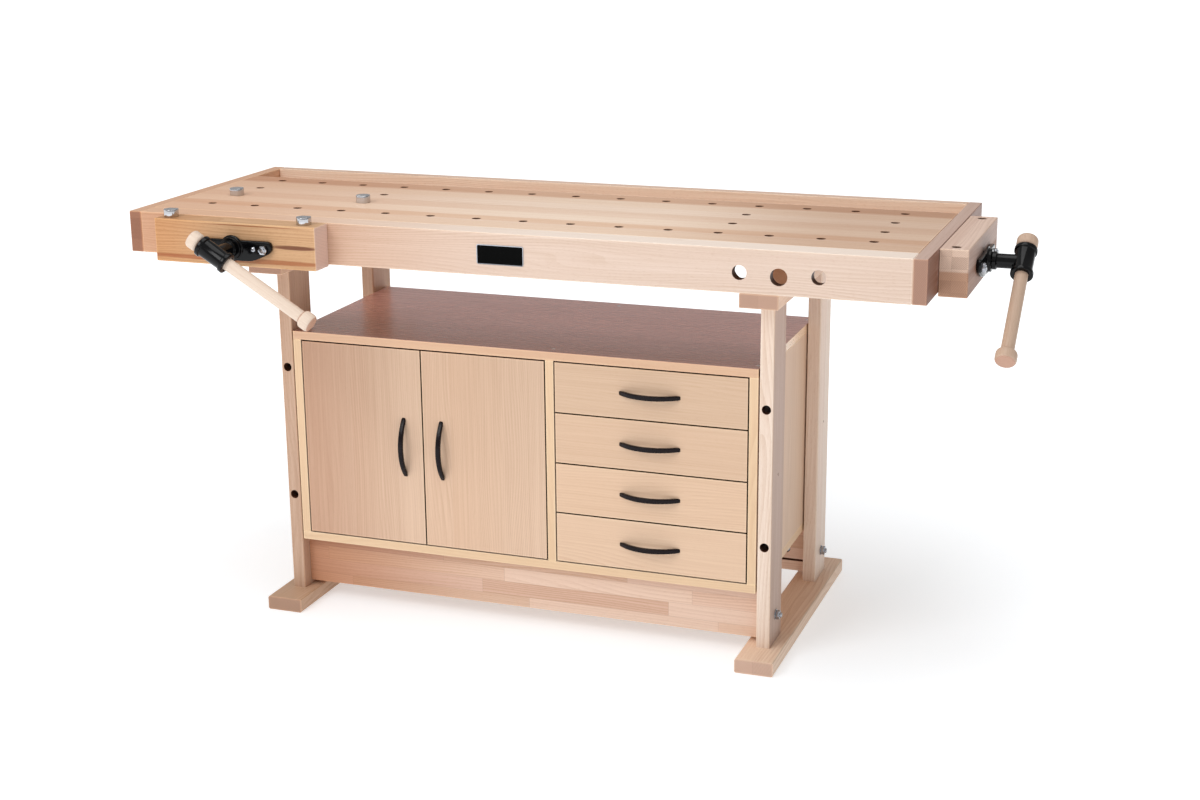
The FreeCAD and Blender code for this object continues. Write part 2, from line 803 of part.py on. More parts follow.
def outer_plate(side, face):
    body = new_body(f"{side}_vise_plate")
    plate_outline(body, face)
    boss = new_sketch(body, "XZ_Plane", f"{face} + plate_thickness")
    circle(boss, "0", "0", "boss_size")
    pad(body, boss, "boss_height")
    holes = [("0", "0", "screw_size + 2 * fit_play")]
    holes += [(f"0 {sign} rod_spread / 2", "0", "rod_tip + 2 * fit_play") for sign in "-+"]
    holes += [(f"0 {sign} plate_screw_spread / 2", "0", "plate_screw_shank + 2 * fit_play") for sign in "-+"]
    drill(body, "XZ_Plane", holes)
    return body


def nut_bracket(side, wall):
    """The casting behind the wall that holds the nut's thread and guides the rods."""
    body = new_body(f"{side}_nut_casting")
    plate_outline(body, f"0 - {wall} - plate_thickness")
    boss = new_sketch(body, "XZ_Plane", f"0 - {wall} - plate_thickness - nut_boss_length")
    circle(boss, "0", "0", "nut_boss_size")
    pad(body, boss, "nut_boss_length")
    holes = [("0", "0", "screw_size + 2 * fit_play")]
    holes += [(f"0 {sign} rod_spread / 2", "0", "rod_size + 2 * fit_play") for sign in "-+"]
    holes += [(f"0 {sign} plate_screw_spread / 2", "0", "plate_screw_shank + 2 * fit_play") for sign in "-+"]
    drill(body, "XZ_Plane", holes)
    head_y = f"{wall} + plate_thickness + plate_screw_head_height"
    return group(f"{side}_nut_bracket", [body, *plate_screws(f"{side}_bracket", head_y, "-y")])


def plate_screws(label, head_y, along):
    """Two screws that hold a plate on its wood."""
    head = ("plate_screw_head", "plate_screw_head_height", "plate_screw_shank")
    length = "plate_screw_length + plate_screw_head_height"
    screws = []
    for name, sign in (("left", "-1"), ("right", "1")):
        x = f"{sign} * plate_screw_spread / 2"
        screws.append(wood_screw(f"{label}_{name}_screw", *head, length, x, head_y, "0", along))
    return screws


def vise_screw(side, face, wall):
    body = new_body(f"{side}_vise_screw")
    sketch = new_sketch(body, "XY_Plane")
    seat = f"0 - {face} - plate_thickness - boss_height - hub_play"
    collar = f"0 - {face} + collar_play"
    tail = f"{wall} + plate_thickness + nut_boss_length + vise_travel + screw_tail"
    spigot, thread, ring = "spigot_size / 2", "screw_size / 2", "collar_size / 2"
    profile = [
        ("0", f"{seat} - spigot_length"),
        (spigot, f"{seat} - spigot_length"),
        (spigot, seat),
        (thread, seat),
        (thread, collar),
        (ring, collar),
        (ring, f"{collar} + collar_width"),
        (thread, f"{collar} + collar_width"),
        (thread, tail),
        ("0", tail),
    ]
    polygon(sketch, profile)
    revolve(body, sketch, "V_Axis")
    return body


def handle_sketch(body, face, handle_turn):
    """A sketch whose own X runs along the handle, through the middle of the hub."""
    return new_sketch(body, "XZ_Plane", f"{face} + hub_reach", (Z_AXIS, handle_turn))


def hub(side, face, handle_turn):
    """The cast T that holds the sliding bar, with a neck that takes the end of the screw."""
    body = new_body(f"{side}_vise_hub")
    tube = handle_sketch(body, face, handle_turn)
    end, band = "hub_length / 2", "(hub_length / 2 - hub_rim_width)"
    rim, wall = "hub_rim / 2", "hub_size / 2"
    right = [(band, wall), (band, rim), (end, rim), (end, "0")]
    left = [(f"0 - {x}", z) for x, z in reversed(right)]
    polygon(tube, left + right)
    revolve(body, tube, "H_Axis")
    seat = f"{face} + plate_thickness + boss_height + hub_play"
    neck = new_sketch(body, "XY_Plane")
    profile = [
        ("0", f"0 - ({seat})"),
        ("hub_collar / 2", f"0 - ({seat})"),
        ("hub_collar / 2", f"0 - ({seat}) - hub_collar_width"),
        ("hub_neck / 2", f"0 - ({seat}) - hub_collar_width"),
        ("hub_neck / 2", f"0 - {face} - hub_reach"),
        ("0", f"0 - {face} - hub_reach"),
    ]
    polygon(neck, profile)
    revolve(body, neck, "V_Axis")
    bore = handle_sketch(body, face, handle_turn)
    rectangle(bore, "0 - hub_length", "0", "2 * hub_length", "bar_size / 2 + bar_play")
    groove = body.newObject("PartDesign::Groove", f"{body.Label}_bar_hole")
    groove.Profile = bore
    groove.ReferenceAxis = (bore, ["H_Axis"])
    groove.Angle = 360
    body.Tip = groove
    socket = [("0", "0", "spigot_size + 2 * fit_play")]
    drill(body, "XZ_Plane", socket, "spigot_length + fit_play", seat, True)
    return body


def handle(side, face, handle_turn):
    """The turned bar and its two end knobs; the upper knob rests on the hub."""
    upper = "(0 - hub_length / 2 - hub_play)"
    lower = f"({upper} + handle_span)"
    bar = new_body(f"{side}_handle_bar")
    sketch = handle_sketch(bar, face, handle_turn)
    spigot, stock = "knob_socket / 2", "bar_size / 2"
    upper_tip = f"{upper} - knob_socket_depth"
    lower_tip = f"{lower} + knob_socket_depth"
    profile = [
        (upper_tip, "0"),
        (upper_tip, spigot),
        (upper, spigot),
        (upper, stock),
        (lower, stock),
        (lower, spigot),
        (lower_tip, spigot),
        (lower_tip, "0"),
    ]
    polygon(sketch, profile)
    revolve(bar, sketch, "H_Axis")
    members = [bar]
    for name, seat, sign in (("upper", upper, "-"), ("lower", lower, "+")):
        knob = new_body(f"{side}_{name}_knob")
        sketch = handle_sketch(knob, face, handle_turn)
        radius = f"{side}_knob / 2"
        hole = "knob_socket / 2 + thread_play"
        floor = f"{seat} {sign} (knob_socket_depth + thread_play)"
        end = f"{seat} {sign} knob_length"
        profile = [(end, "0"), (end, radius), (seat, radius), (seat, hole), (floor, hole), (floor, "0")]
        polygon(sketch, profile)
        revolve(knob, sketch, "H_Axis")
        ease(knob, "Fillet", "knob_ease", circle_wider_than(SIZES["bar_size"]))
        members.append(knob)
    return group(f"{side}_vise_handle", members)


def circle_wider_than(diameter):
    """A test for round edges above a diameter."""

    def matches(edge):
        return hasattr(edge.Curve, "Radius") and 2 * edge.Curve.Radius > diameter

    return matches


def guide_rods(side, face, wall):
    """Two rods with the nuts that clamp the plate and jaw on them, and the plate's own screws."""
    members = []
    reach = f"{face} + {wall} + plate_thickness + vise_travel + rod_spare"
    tip = "plate_thickness + rod_nut_height + rod_proud"
    plate_y = f"0 - {face} - plate_thickness"
    for name, sign in (("left", "-1"), ("right", "1")):
        x = f"{sign} * rod_spread / 2"
        shaft = cylinder(f"{side}_{name}_shaft", "rod_size", reach, x, f"0 - {face}", "0", "+y")
        end = cylinder(f"{side}_{name}_tip", "rod_tip", tip, x, f"0 - {face}", "0", "-y")
        members.append(joined(f"{side}_{name}_rod", shaft, end))
        nut = hexagon(f"{side}_{name}_hexagon", "rod_nut_flats", "rod_nut_height", x, plate_y, "0", "-y")
        thread = cylinder(
            f"{side}_{name}_nut_hole", "rod_tip + 2 * thread_play", "rod_nut_height", x, plate_y, "0", "-y"
        )
        members.append(bored(f"{side}_{name}_rod_nut", nut, thread))
    head_y = f"0 - {face} - plate_thickness - plate_screw_head_height"
    members += plate_screws(f"{side}_plate", head_y, "+y")
    return group(f"{side}_guide_rods", members)


def vises():
    columns = ("0", "inner_column_gap")
    rows = ("0", "(dog_rows - 1)")
    front_dogs = [f"first_column + {k} * dog_pitch + front_screw_x" for k in columns]
    tail_dogs = [f"front_row + {k} * dog_row_pitch + tail_screw_y" for k in rows]
    front_seat = ("0 - front_screw_x", "top_front", "apron_thickness", None)
    tail_seat = ("top_length / 2", "0 - tail_screw_y", "end_board", (Z_AXIS, 90))
    front = vise("front", *front_seat, "0 - front_handle_tilt", front_dogs)
    tail = vise("tail", *tail_seat, "180 + tail_handle_tilt", tail_dogs)
    keep(group("vise_nuts", [front, tail]))


# ---------------------------------------------------------------- bench dogs


def dogs():
    jaw_top = "bench_height - jaw_drop"
    jaw_y = "top_front - front_jaw_gap - front_jaw_thickness / 2"
    first = "first_column"
    second = "first_column + inner_column_gap * dog_pitch"
    table_y = "front_row + dog_row_pitch"
    for label, x, y, z, turn in (
        ("left_jaw_dog", first, jaw_y, jaw_top, 180),
        ("right_jaw_dog", second, jaw_y, jaw_top, 180),
        ("left_table_dog", first, table_y, "bench_height", 0),
        ("right_table_dog", second, table_y, "bench_height", 0),
    ):
        body = new_body(label)
        head = new_sketch(body, "XY_Plane", "dog_seat")
        circle(head, "0", "0", "dog_head")
        pad(body, head, "dog_head_height")
        flat_y = "dog_head_flat - dog_head / 2"
        notch(body, "XY_Plane", "0 - dog_head", "0 - dog_head", "2 * dog_head", f"dog_head + {flat_y}")
        ease(body, "Chamfer", "dog_ease")
        shank = new_sketch(body, "XY_Plane", "dog_seat")
        circle(shank, "0", "0", "dog_hole - 2 * dog_shank_play")
        pad(body, shank, "dog_shank", backwards=True)
        keep(body, x, y, z, (Z_AXIS, turn))


# ---------------------------------------------------------------- cabinet


def cabinet():
    back_y = "cabinet_front + cabinet_depth - back_panel"
    screw_y = ("panel_screw_inset", "cabinet_depth - panel_screw_inset")
    screw_x = ("panel / 2", "divider_x - cabinet_left", "cabinet_width - panel / 2")

    top = board("cabinet_top", "cabinet_width", "cabinet_depth", "panel", "panel_ease")
    spots = [(x, y) for x in screw_x for y in screw_y]
    drill(top, "XY_Plane", [(x, y, "panel_screw_shank + 2 * fit_play") for x, y in spots])
    heads = [(x, y, "panel_screw_head + 2 * fit_play") for x, y in spots]
    drill(top, "XY_Plane", heads, "panel_screw_head_height", "panel")
    keep(top, "cabinet_left", "cabinet_front", "cabinet_top - panel")
    bottom = board("cabinet_bottom", "cabinet_width", "cabinet_depth", "panel", "panel_ease")
    keep(bottom, "cabinet_left", "cabinet_front", "cabinet_low")

    for label, x, depth in (
        ("cabinet_left_side", "cabinet_left", "cabinet_depth"),
        ("cabinet_right_side", "0 - inner_left", "cabinet_depth"),
        ("cabinet_divider", "divider_left", "inner_depth"),
    ):
        side = board(label, "panel", depth, "side_height", "panel_ease")
        pilots = [("panel / 2", y, "panel_screw_shank") for y in screw_y]
        drill(side, "XY_Plane", pilots, "panel_screw_length - panel + fit_play", "side_height")
        if label == "cabinet_left_side":
            drill(side, "YZ_Plane", pin_holes(), "pin_bury", "panel", False)
            drill(side, "YZ_Plane", fixing_holes(), "fixing_grip", "0", True)
        elif label == "cabinet_right_side":
            drill(side, "YZ_Plane", fixing_holes(), "fixing_grip", "panel", False)
        else:
            drill(side, "YZ_Plane", pin_holes(), "pin_bury", "0", True)
        keep(side, x, "cabinet_front", "inner_low")

    back = board("cabinet_back", "cabinet_width - 2 * panel", "back_panel", "side_height")
    keep(back, "inner_left", back_y, "inner_low")
    shelf_width = "divider_left - inner_left - 2 * shelf_play"
    shelf = board("cabinet_shelf", shelf_width, "inner_depth - shelf_setback", "panel", "panel_ease")
    keep(shelf, "inner_left + shelf_play", "cabinet_front + shelf_setback", "inner_low + shelf_rise")
    screws = [*top_screws(screw_x, screw_y), *fixings()]
    keep(group("cabinet_fittings", [*screws, *shelf_pins(), *hinge_arms(), *runners()]))


def pin_holes():
    """The holes for the shelf pins, across and up a side."""
    z = "shelf_rise - pin_size / 2"
    return [(y, z, "pin_size") for y in PIN_PLACES]


PIN_PLACES = ("shelf_setback + pin_inset", "inner_depth - pin_inset")
FIXING_PLACES = ("leg_width / 2", "leg_set - leg_width / 2")


def fixing_holes():
    """Pilot holes for the screws that come through the legs."""
    return [(y, "fixing_rise - inner_low", "fixing_shank") for y in FIXING_PLACES]


def top_screws(screw_x, screw_y):
    head = ("panel_screw_head", "panel_screw_head_height", "panel_screw_shank")
    spots = [(f"cabinet_left + {x}", f"cabinet_front + {y}") for x in screw_x for y in screw_y]
    return [
        wood_screw(f"top_screw_{k}", *head, "panel_screw_length", *spot, "cabinet_top", "-z")
        for k, spot in enumerate(spots, start=1)
    ]


def shelf_pins():
    pins = []
    z = "inner_low + shelf_rise - pin_size / 2"
    length = "pin_bury + pin_proud"
    walls = (("left", "inner_left - pin_bury", "+x"), ("right", "divider_left + pin_bury", "-x"))
    for side, x, along in walls:
        for k, depth in enumerate(PIN_PLACES, start=1):
            y = f"cabinet_front + {depth}"
            pins.append(cylinder(f"{side}_shelf_pin_{k}", "pin_size", length, x, y, z, along))
    return pins


def hinge_arms():
    """The fixed half of each concealed hinge, screwed to the cabinet beside the door."""
    arms = []
    heights = ("hinge_rise", "face_height - hinge_rise")
    reach = "hinge_cup_inset + front_gap"
    for side, wall, sign in (("left", "inner_left", "+"), ("right", "divider_left", "-")):
        for k, rise in enumerate(heights, start=1):
            z = f"face_low + {rise} - hinge_arm_width / 2"
            y = "face_back + hinge_flange + hinge_seat"
            arm_x = wall if sign == "+" else f"{wall} - hinge_arm_height"
            link_x = wall if sign == "+" else f"{wall} - ({reach})"
            label = f"{side}_hinge_{k}"
            arm_size = ("hinge_arm_height", "hinge_arm_length", "hinge_arm_width")
            arm = block(f"{label}_plate", *arm_size, arm_x, y, z)
            link = block(f"{label}_link", reach, "hinge_arm_height", "hinge_arm_width", link_x, y, z)
            arms.append(joined(f"{label}_arm", arm, link))
    return arms


def runners():
    """Angle runners on both sides of each drawer, with the lip under the drawer box."""
    rails = []
    y = "face_back + runner_setback"
    for number in range(1, SIZES["drawer_count"] + 1):
        lip_z = f"{drawer_z(number)} + box_rise - runner_seat - runner_gauge"
        for side, upright_x, lip_x in (
            ("left", "divider_right", "divider_right"),
            ("right", "0 - inner_left - runner_gauge", "0 - inner_left - runner_lip"),
        ):
            label = f"drawer_{number}_{side}_runner"
            web_size = ("runner_gauge", "box_length", "runner_height")
            lip_size = ("runner_lip", "box_length", "runner_gauge")
            upright = block(f"{label}_web", *web_size, upright_x, y, lip_z)
            lip = block(f"{label}_lip", *lip_size, lip_x, y, lip_z)
            rails.append(joined(label, upright, lip))
    return rails


def fixings():
    """Screws through the legs into the cabinet's sides, sunk below the legs' outer faces."""
    screws = []
    size = ("fixing_head", "fixing_head_height", "fixing_shank")
    length = "leg_thickness - fixing_sink + cabinet_play + fixing_grip - fixing_play"
    for side, sign, along in (("left", "-1", "+x"), ("right", "1", "-x")):
        for k, y in enumerate(FIXING_PLACES, start=1):
            x = f"{sign} * (leg_inner + leg_thickness - fixing_sink)"
            spot = (x, f"leg_front + {y}", "fixing_rise")
            screws.append(wood_screw(f"{side}_fixing_{k}", *size, length, *spot, along))
    return screws


# ---------------------------------------------------------------- doors and drawers


def doors():
    left_x = "inner_left + front_gap"
    for side, x, cup_x, handle_x in (
        ("left", left_x, "hinge_cup_inset", "door_width - bow_inset"),
        ("right", "right_door_x", "door_width - hinge_cup_inset", "bow_inset"),
    ):
        heights = ("hinge_rise", "face_height - hinge_rise")
        door = board(f"{side}_door", "door_width", "panel", "face_height", "panel_ease")
        cups = [(cup_x, z, "hinge_cup + 2 * hinge_cup_play") for z in heights]
        drill(door, "XZ_Plane", cups, "hinge_cup_depth + hinge_cup_play", "0 - panel", True)
        keep(door, x, "cabinet_front", "face_low")

        hinges = []
        for k, z in enumerate(heights, start=1):
            label = f"{side}_door_hinge_{k}"
            middle = (f"{x} + {cup_x}", "face_back", f"face_low + {z}")
            cup = cylinder(f"{label}_cup", "hinge_cup", "hinge_cup_depth", *middle, "-y")
            corner_x = f"{middle[0]} - hinge_flange_width / 2"
            corner_z = f"{middle[2]} - hinge_flange_height / 2"
            size = ("hinge_flange_width", "hinge_flange", "hinge_flange_height")
            flange = block(f"{label}_flange", *size, corner_x, "face_back", corner_z)
            hinges.append(joined(label, cup, flange))
        keep(group(f"{side}_door_hinges", hinges))
        bow = bow_handle(f"{side}_door_handle")
        keep(bow, f"{x} + {handle_x}", "cabinet_front", "face_low + face_height / 2", (Y_AXIS, 90))


def drawer_z(number):
    """The underside of a drawer front, counted from the top drawer down."""
    return f"(face_low + (drawer_count - {number}) * drawer_pitch)"


def drawers():
    for number in range(1, SIZES["drawer_count"] + 1):
        label = f"drawer_{number}"
        low = drawer_z(number)
        face = board(f"{label}_front", "drawer_width", "panel", "drawer_height", "panel_ease")
        keep(face, "drawer_left", "cabinet_front", low)

        base = f"{low} + box_rise"
        inner_x = "box_left + box_board"
        inner_width = "box_width - 2 * box_board"
        inner_length = "box_length - 2 * box_board"
        side_size = ("box_board", "box_length", "box_height")
        end_size = (inner_width, "box_board", "box_height")
        rear_y = "face_back + box_length - box_board"
        bottom_y = "face_back + box_board"
        bottom_z = f"{base} + box_bottom_rise"
        boards = [
            block(f"{label}_left_wall", *side_size, "box_left", "face_back", base),
            block(f"{label}_right_wall", *side_size, "box_left + box_width - box_board", "face_back", base),
            block(f"{label}_front_wall", *end_size, inner_x, "face_back", base),
            block(f"{label}_rear_wall", *end_size, inner_x, rear_y, base),
            block(f"{label}_bottom", inner_width, inner_length, "box_bottom", inner_x, bottom_y, bottom_z),
        ]
        keep(group(f"{label}_box", boards))
        bow = bow_handle(f"{label}_handle")
        keep(bow, "drawer_left + drawer_width / 2", "cabinet_front", f"{low} + drawer_height / 2")


def bow_handle(label):
    """A bow along the body's X that stands out towards -Y, thinner in the middle than at its feet."""
    body = new_body(label)
    sketch = new_sketch(body, "XY_Plane")
    outer, inner = SIZES["bow_length"] / 2, SIZES["bow_length"] / 2 - SIZES["bow_foot"]
    rise, gauge = SIZES["bow_rise"], SIZES["bow_gauge"]
    ends = {
        "outer": ("(bow_length / 2)", "bow_rise", outer, rise),
        "inner": ("(bow_length / 2 - bow_foot)", "(bow_rise - bow_gauge)", inner, rise - gauge),
    }
    for half, height, x, y in ends.values():
        points = [FreeCAD.Vector(-x, 0, 0), FreeCAD.Vector(0, -y, 0), FreeCAD.Vector(x, 0, 0)]
        arc = sketch.addGeometry(Part.Arc(*points))
        pin_point(sketch, arc, 1, f"0 - {half}", "0", (-x, 0.0))
        pin_point(sketch, arc, 2, half, "0", (x, 0.0))
        number = sketch.addConstraint(Sketcher.Constraint("Radius", arc, (x * x + y * y) / (2 * y)))
        sketch.setExpression(f"Constraints[{number}]", bound(f"({half} ^ 2 + {height} ^ 2) / (2 * {height})"))
    for k, (near, far) in enumerate(((-outer, -inner), (inner, outer))):
        line = Part.LineSegment(FreeCAD.Vector(near, 0, 0), FreeCAD.Vector(far, 0, 0))
        foot = sketch.addGeometry(line)
        first_arc, second_arc = (0, 1) if k == 0 else (1, 0)
        end = 1 if k == 0 else 2
        sketch.addConstraint(Sketcher.Constraint("Coincident", foot, 1, first_arc, end))
        sketch.addConstraint(Sketcher.Constraint("Coincident", foot, 2, second_arc, end))
    pad(body, sketch, "bow_width", both_ways=True)
    ease(body, "Fillet", "bow_ease", curved)
    return body


def curved(edge):
    """A test for the long curved edges of a bow."""
    return hasattr(edge.Curve, "Radius")


# ---------------------------------------------------------------- build, check and write


def check():
    doc.recompute()
    for thing in doc.Objects:
        if {"Invalid", "Error"} & set(thing.State):
            raise RuntimeError(f"{thing.Label} did not build: {thing.State}")
    for node in nodes:
        shape = node.Shape
        if shape.isNull() or not shape.isValid() or shape.Volume <= 0:
            raise RuntimeError(f"{node.Label} has no sound solid")


def write():
    os.makedirs("parts", exist_ok=True)
    for node in nodes:
        node.Shape.exportStep(os.path.join("parts", f"{node.Label}.step"))
        print(f"{node.Label:22s} {len(node.Shape.Solids):3d} solids {node.Shape.Volume / 1000:10.1f} cm3")


worktop()
trestles()
stretchers()
vises()
dogs()
cabinet()
doors()
drawers()
check()
write()
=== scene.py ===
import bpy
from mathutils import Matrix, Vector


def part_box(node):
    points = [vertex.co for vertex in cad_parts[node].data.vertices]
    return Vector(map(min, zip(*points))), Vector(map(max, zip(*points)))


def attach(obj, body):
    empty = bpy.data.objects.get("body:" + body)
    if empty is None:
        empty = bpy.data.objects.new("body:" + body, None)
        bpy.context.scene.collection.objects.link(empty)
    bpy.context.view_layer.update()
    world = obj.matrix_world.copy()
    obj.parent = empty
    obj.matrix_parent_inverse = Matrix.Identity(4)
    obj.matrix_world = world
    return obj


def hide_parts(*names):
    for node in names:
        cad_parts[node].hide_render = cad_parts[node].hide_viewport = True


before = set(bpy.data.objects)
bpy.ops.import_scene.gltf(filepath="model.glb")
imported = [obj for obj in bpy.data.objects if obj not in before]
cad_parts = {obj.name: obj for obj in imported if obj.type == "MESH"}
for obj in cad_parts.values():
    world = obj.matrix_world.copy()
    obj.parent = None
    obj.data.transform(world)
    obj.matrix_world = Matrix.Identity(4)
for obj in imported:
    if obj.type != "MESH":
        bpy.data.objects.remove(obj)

"""Dresses a cabinetmaker's workbench: beech boards, cast vises, turned handles, doors and drawers.

Lengths are in metres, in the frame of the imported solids. Each board keeps its solid and gets a finish of
its own. The round, cast and bent pieces are modelled here and stand for their solids.
"""

import logging
import math
from dataclasses import dataclass, field, replace
from enum import Enum, IntEnum

import bmesh
import bpy
from mathutils import Euler, Matrix, Vector

MM = 0.001
FULL_TURN = 2 * math.pi
QUARTER_TURN = math.pi / 2
SMOOTH_BELOW = math.radians(32)
MERGE = 1e-6

log = logging.getLogger("workbench")

Tone = tuple[float, float, float]
Outline = list[tuple[float, float]]


def tone(red: int, green: int, blue: int) -> Tone:
    """Turns a display colour into the linear one that a shader takes.

    Args:
        red: The red share, 0 to 255.
        green: The green share, 0 to 255.
        blue: The blue share, 0 to 255.

    Returns:
        The linear colour.
    """
    shares = [share / 255 for share in (red, green, blue)]
    return tuple(s / 12.92 if s <= 0.04045 else ((s + 0.055) / 1.055) ** 2.4 for s in shares)


# ---------------------------------------------------------------- shader work


class Reading:
    """A number that a material works out at every point, with the usual arithmetic."""

    def __init__(self, work: "Shader", socket: bpy.types.NodeSocket) -> None:
        """Keeps the work on the material, and the socket that gives the number."""
        self.work = work
        self.socket = socket

    def __add__(self, other: "Reading | float") -> "Reading":
        """The sum."""
        return self.work.step("ADD", self, other)

    def __sub__(self, other: "Reading | float") -> "Reading":
        """The difference."""
        return self.work.step("SUBTRACT", self, other)

    def __rsub__(self, other: float) -> "Reading":
        """A plain number less this one."""
        return self.work.step("SUBTRACT", other, self)

    def __mul__(self, other: "Reading | float") -> "Reading":
        """The product."""
        return self.work.step("MULTIPLY", self, other)

    def __truediv__(self, other: float) -> "Reading":
        """The quotient."""
        return self.work.step("DIVIDE", self, other)

    def __abs__(self) -> "Reading":
        """The number without its sign."""
        return self.work.step("ABSOLUTE", self)

    __radd__ = __add__


class Shader:
    """Adds, sets and links the nodes of one material, or of the room's light."""

    def __init__(self, owner: bpy.types.ID, main: str = "Principled BSDF") -> None:
        """Starts the work.

        Args:
            owner: The material or world.
            main: The name of the node that gives its surface.
        """
        owner.use_nodes = True
        self.owner = owner
        self.tree = owner.node_tree
        self.surface = self.tree.nodes[main]

    def add(self, kind: str, settings: dict | None = None, **inputs: object) -> bpy.types.Node:
        """Adds a node.

        Args:
            kind: The node's type.
            settings: Its properties.
            **inputs: Values for its inputs, with "_" for a space.

        Returns:
            The new node.
        """
        node = self.tree.nodes.new(kind)
        for name, value in (settings or {}).items():
            setattr(node, name, value)
        self.set(node, **inputs)
        return node

    def set(self, node: bpy.types.Node, **inputs: object) -> None:
        """Sets or links a node's inputs, named with "_" for a space."""
        for name, value in inputs.items():
            self.feed(node.inputs[name.replace("_", " ")], value)

    def feed(self, socket: bpy.types.NodeSocket, value: object) -> None:
        """Links a reading or socket into an input, or sets the input to a value."""
        if isinstance(value, Reading):
            value = value.socket
        if isinstance(value, bpy.types.NodeSocket):
            self.tree.links.new(value, socket)
        elif isinstance(value, tuple) and socket.type == "RGBA":
            socket.default_value = (*value, 1)
        else:
            socket.default_value = value

    def step(self, operation: str, *values: Reading | float) -> Reading:
        """One step of arithmetic."""
        node = self.add("ShaderNodeMath", {"operation": operation})
        for socket, value in zip(node.inputs, values):
            self.feed(socket, value)
        return Reading(self, node.outputs[0])

    def least(self, first: Reading, *others: Reading | float) -> Reading:
        """The least of some numbers."""
        for other in others:
            first = self.step("MINIMUM", first, other)
        return first

    def most(self, first: Reading, *others: Reading | float) -> Reading:
        """The greatest of some numbers."""
        for other in others:
            first = self.step("MAXIMUM", first, other)
        return first

    def span(self, value: Reading, low: float, high: float) -> Reading:
        """0 below low, 1 above high, and a smooth rise between them."""
        rise = {"interpolation_type": "SMOOTHSTEP"}
        node = self.add("ShaderNodeMapRange", rise, Value=value, From_Min=low, From_Max=high)
        return Reading(self, node.outputs[0])

    def between(self, share: Reading, low: float, high: float) -> Reading:
        """A number from low to high, by a share from 0 to 1."""
        node = self.add("ShaderNodeMapRange", Value=share, To_Min=low, To_Max=high)
        return Reading(self, node.outputs[0])

    def vector(self, operation: str, *values: object) -> bpy.types.Node:
        """One step of arithmetic on vectors."""
        node = self.add("ShaderNodeVectorMath", {"operation": operation})
        for socket, value in zip(node.inputs, values):
            self.feed(socket, value)
        return node

    def parts(self, vector: object) -> list[Reading]:
        """A vector's three parts."""
        node = self.add("ShaderNodeSeparateXYZ", Vector=vector)
        return [Reading(self, socket) for socket in node.outputs]

    def noise(self, vector: object, scale: float | tuple, detail: float = 2.0) -> Reading:
        """Soft noise from 0 to 1.

        Args:
            vector: The place.
            scale: The number of lumps in a metre, or that number along each axis.
            detail: How much finer the finest lumps are.

        Returns:
            The noise.
        """
        if isinstance(scale, tuple):
            vector, scale = self.vector("MULTIPLY", vector, scale).outputs[0], 1.0
        node = self.add("ShaderNodeTexNoise", Vector=vector, Scale=scale, Detail=detail)
        return Reading(self, node.outputs["Fac"])

    def blend(self, share: Reading, first: object, second: object, mode: str = "MIX") -> bpy.types.NodeSocket:
        """One colour laid over another."""
        node = self.add("ShaderNodeMix", {"data_type": "RGBA", "blend_type": mode})
        for number, value in ((0, share), (6, first), (7, second)):
            self.feed(node.inputs[number], value)
        return node.outputs[2]

    def relief(self, height: Reading, strength: float, depth: float) -> None:
        """Bumps the surface by a height from 0 to 1, which stands for a depth in metres."""
        bump = self.add("ShaderNodeBump", Height=height, Strength=strength, Distance=depth)
        self.set(self.surface, Normal=bump.outputs[0])

    def place(self) -> tuple[bpy.types.NodeSocket, bpy.types.NodeSocket]:
        """The point and the face's direction, in the piece's own frame."""
        node = self.add("ShaderNodeTexCoord")
        return node.outputs["Object"], node.outputs["Normal"]


def new_material(name: str) -> Shader:
    """Starts the work on a new material."""
    return Shader(bpy.data.materials.new(name))


class Axis(Enum):
    """A direction of the bench's frame, by its place among X, Y and Z."""

    X = 0
    Y = 1
    Z = 2


@dataclass(frozen=True)
class Tint:
    """A tint that rises along an axis: the wood's own tone, or painted shade.
        start: Where the tint starts.
        full: Where it is full.
        colour: Its colour, which the wood's own is multiplied by.
        share: How much of it there is where it is full.
    """

    axis: Axis
    start: float
    full: float
    colour: Tone
    share: float = 1.0

    @classmethod
    def face_shade(cls, axis: Axis, high: Vector, colour: Tone, skin: float = 0.5 * MM) -> "Tint":
        """Painted shade on the face at the high side of a board, as deep as a skin."""
        return cls(axis, high[axis.value] - 2 * MM, high[axis.value] - skin, colour)

    @classmethod
    def all_over(cls, colour: Tone, share: float = 1.0) -> "Tint":
        """A tint that is full everywhere above the floor."""
        return cls(Axis.Z, -1.0, -0.5, colour, share)

    def lay(self, work: Shader, colour: object, parts: list[Reading]) -> bpy.types.NodeSocket:
        """Lays the tint over a colour."""
        value, start, full = parts[self.axis.value], self.start, self.full
        if start > full:
            value, start, full = value * -1.0, -start, -full
        return work.blend(work.span(value, start, full) * self.share, colour, self.colour, "MULTIPLY")


@dataclass(frozen=True)
class Streak:
    """A long ragged mark on a board, such as dark heartwood, or a strip of painted shadow.

    Attributes:
        middle: Its middle, along and across.
        half: Half its length and half its width.
        colour: Its colour, which the wood's own is multiplied by.
        share: How much of it there is.
    """

    middle: tuple[float, float]
    half: tuple[float, float]
    colour: Tone
    share: float

    RAGGED = 0.9
    RIM = (0.7, 1.35)

    def strength(self, work: Shader, places: list[Reading], ragged: Reading) -> Reading:
        """How strong the streak is at a place along and across."""
        away = [(place - at) / reach for place, at, reach in zip(places, self.middle, self.half)]
        distance = away[0] * away[0] + away[1] * away[1] + ragged * self.RAGGED
        return (1.0 - work.span(distance, *self.RIM)) * self.share


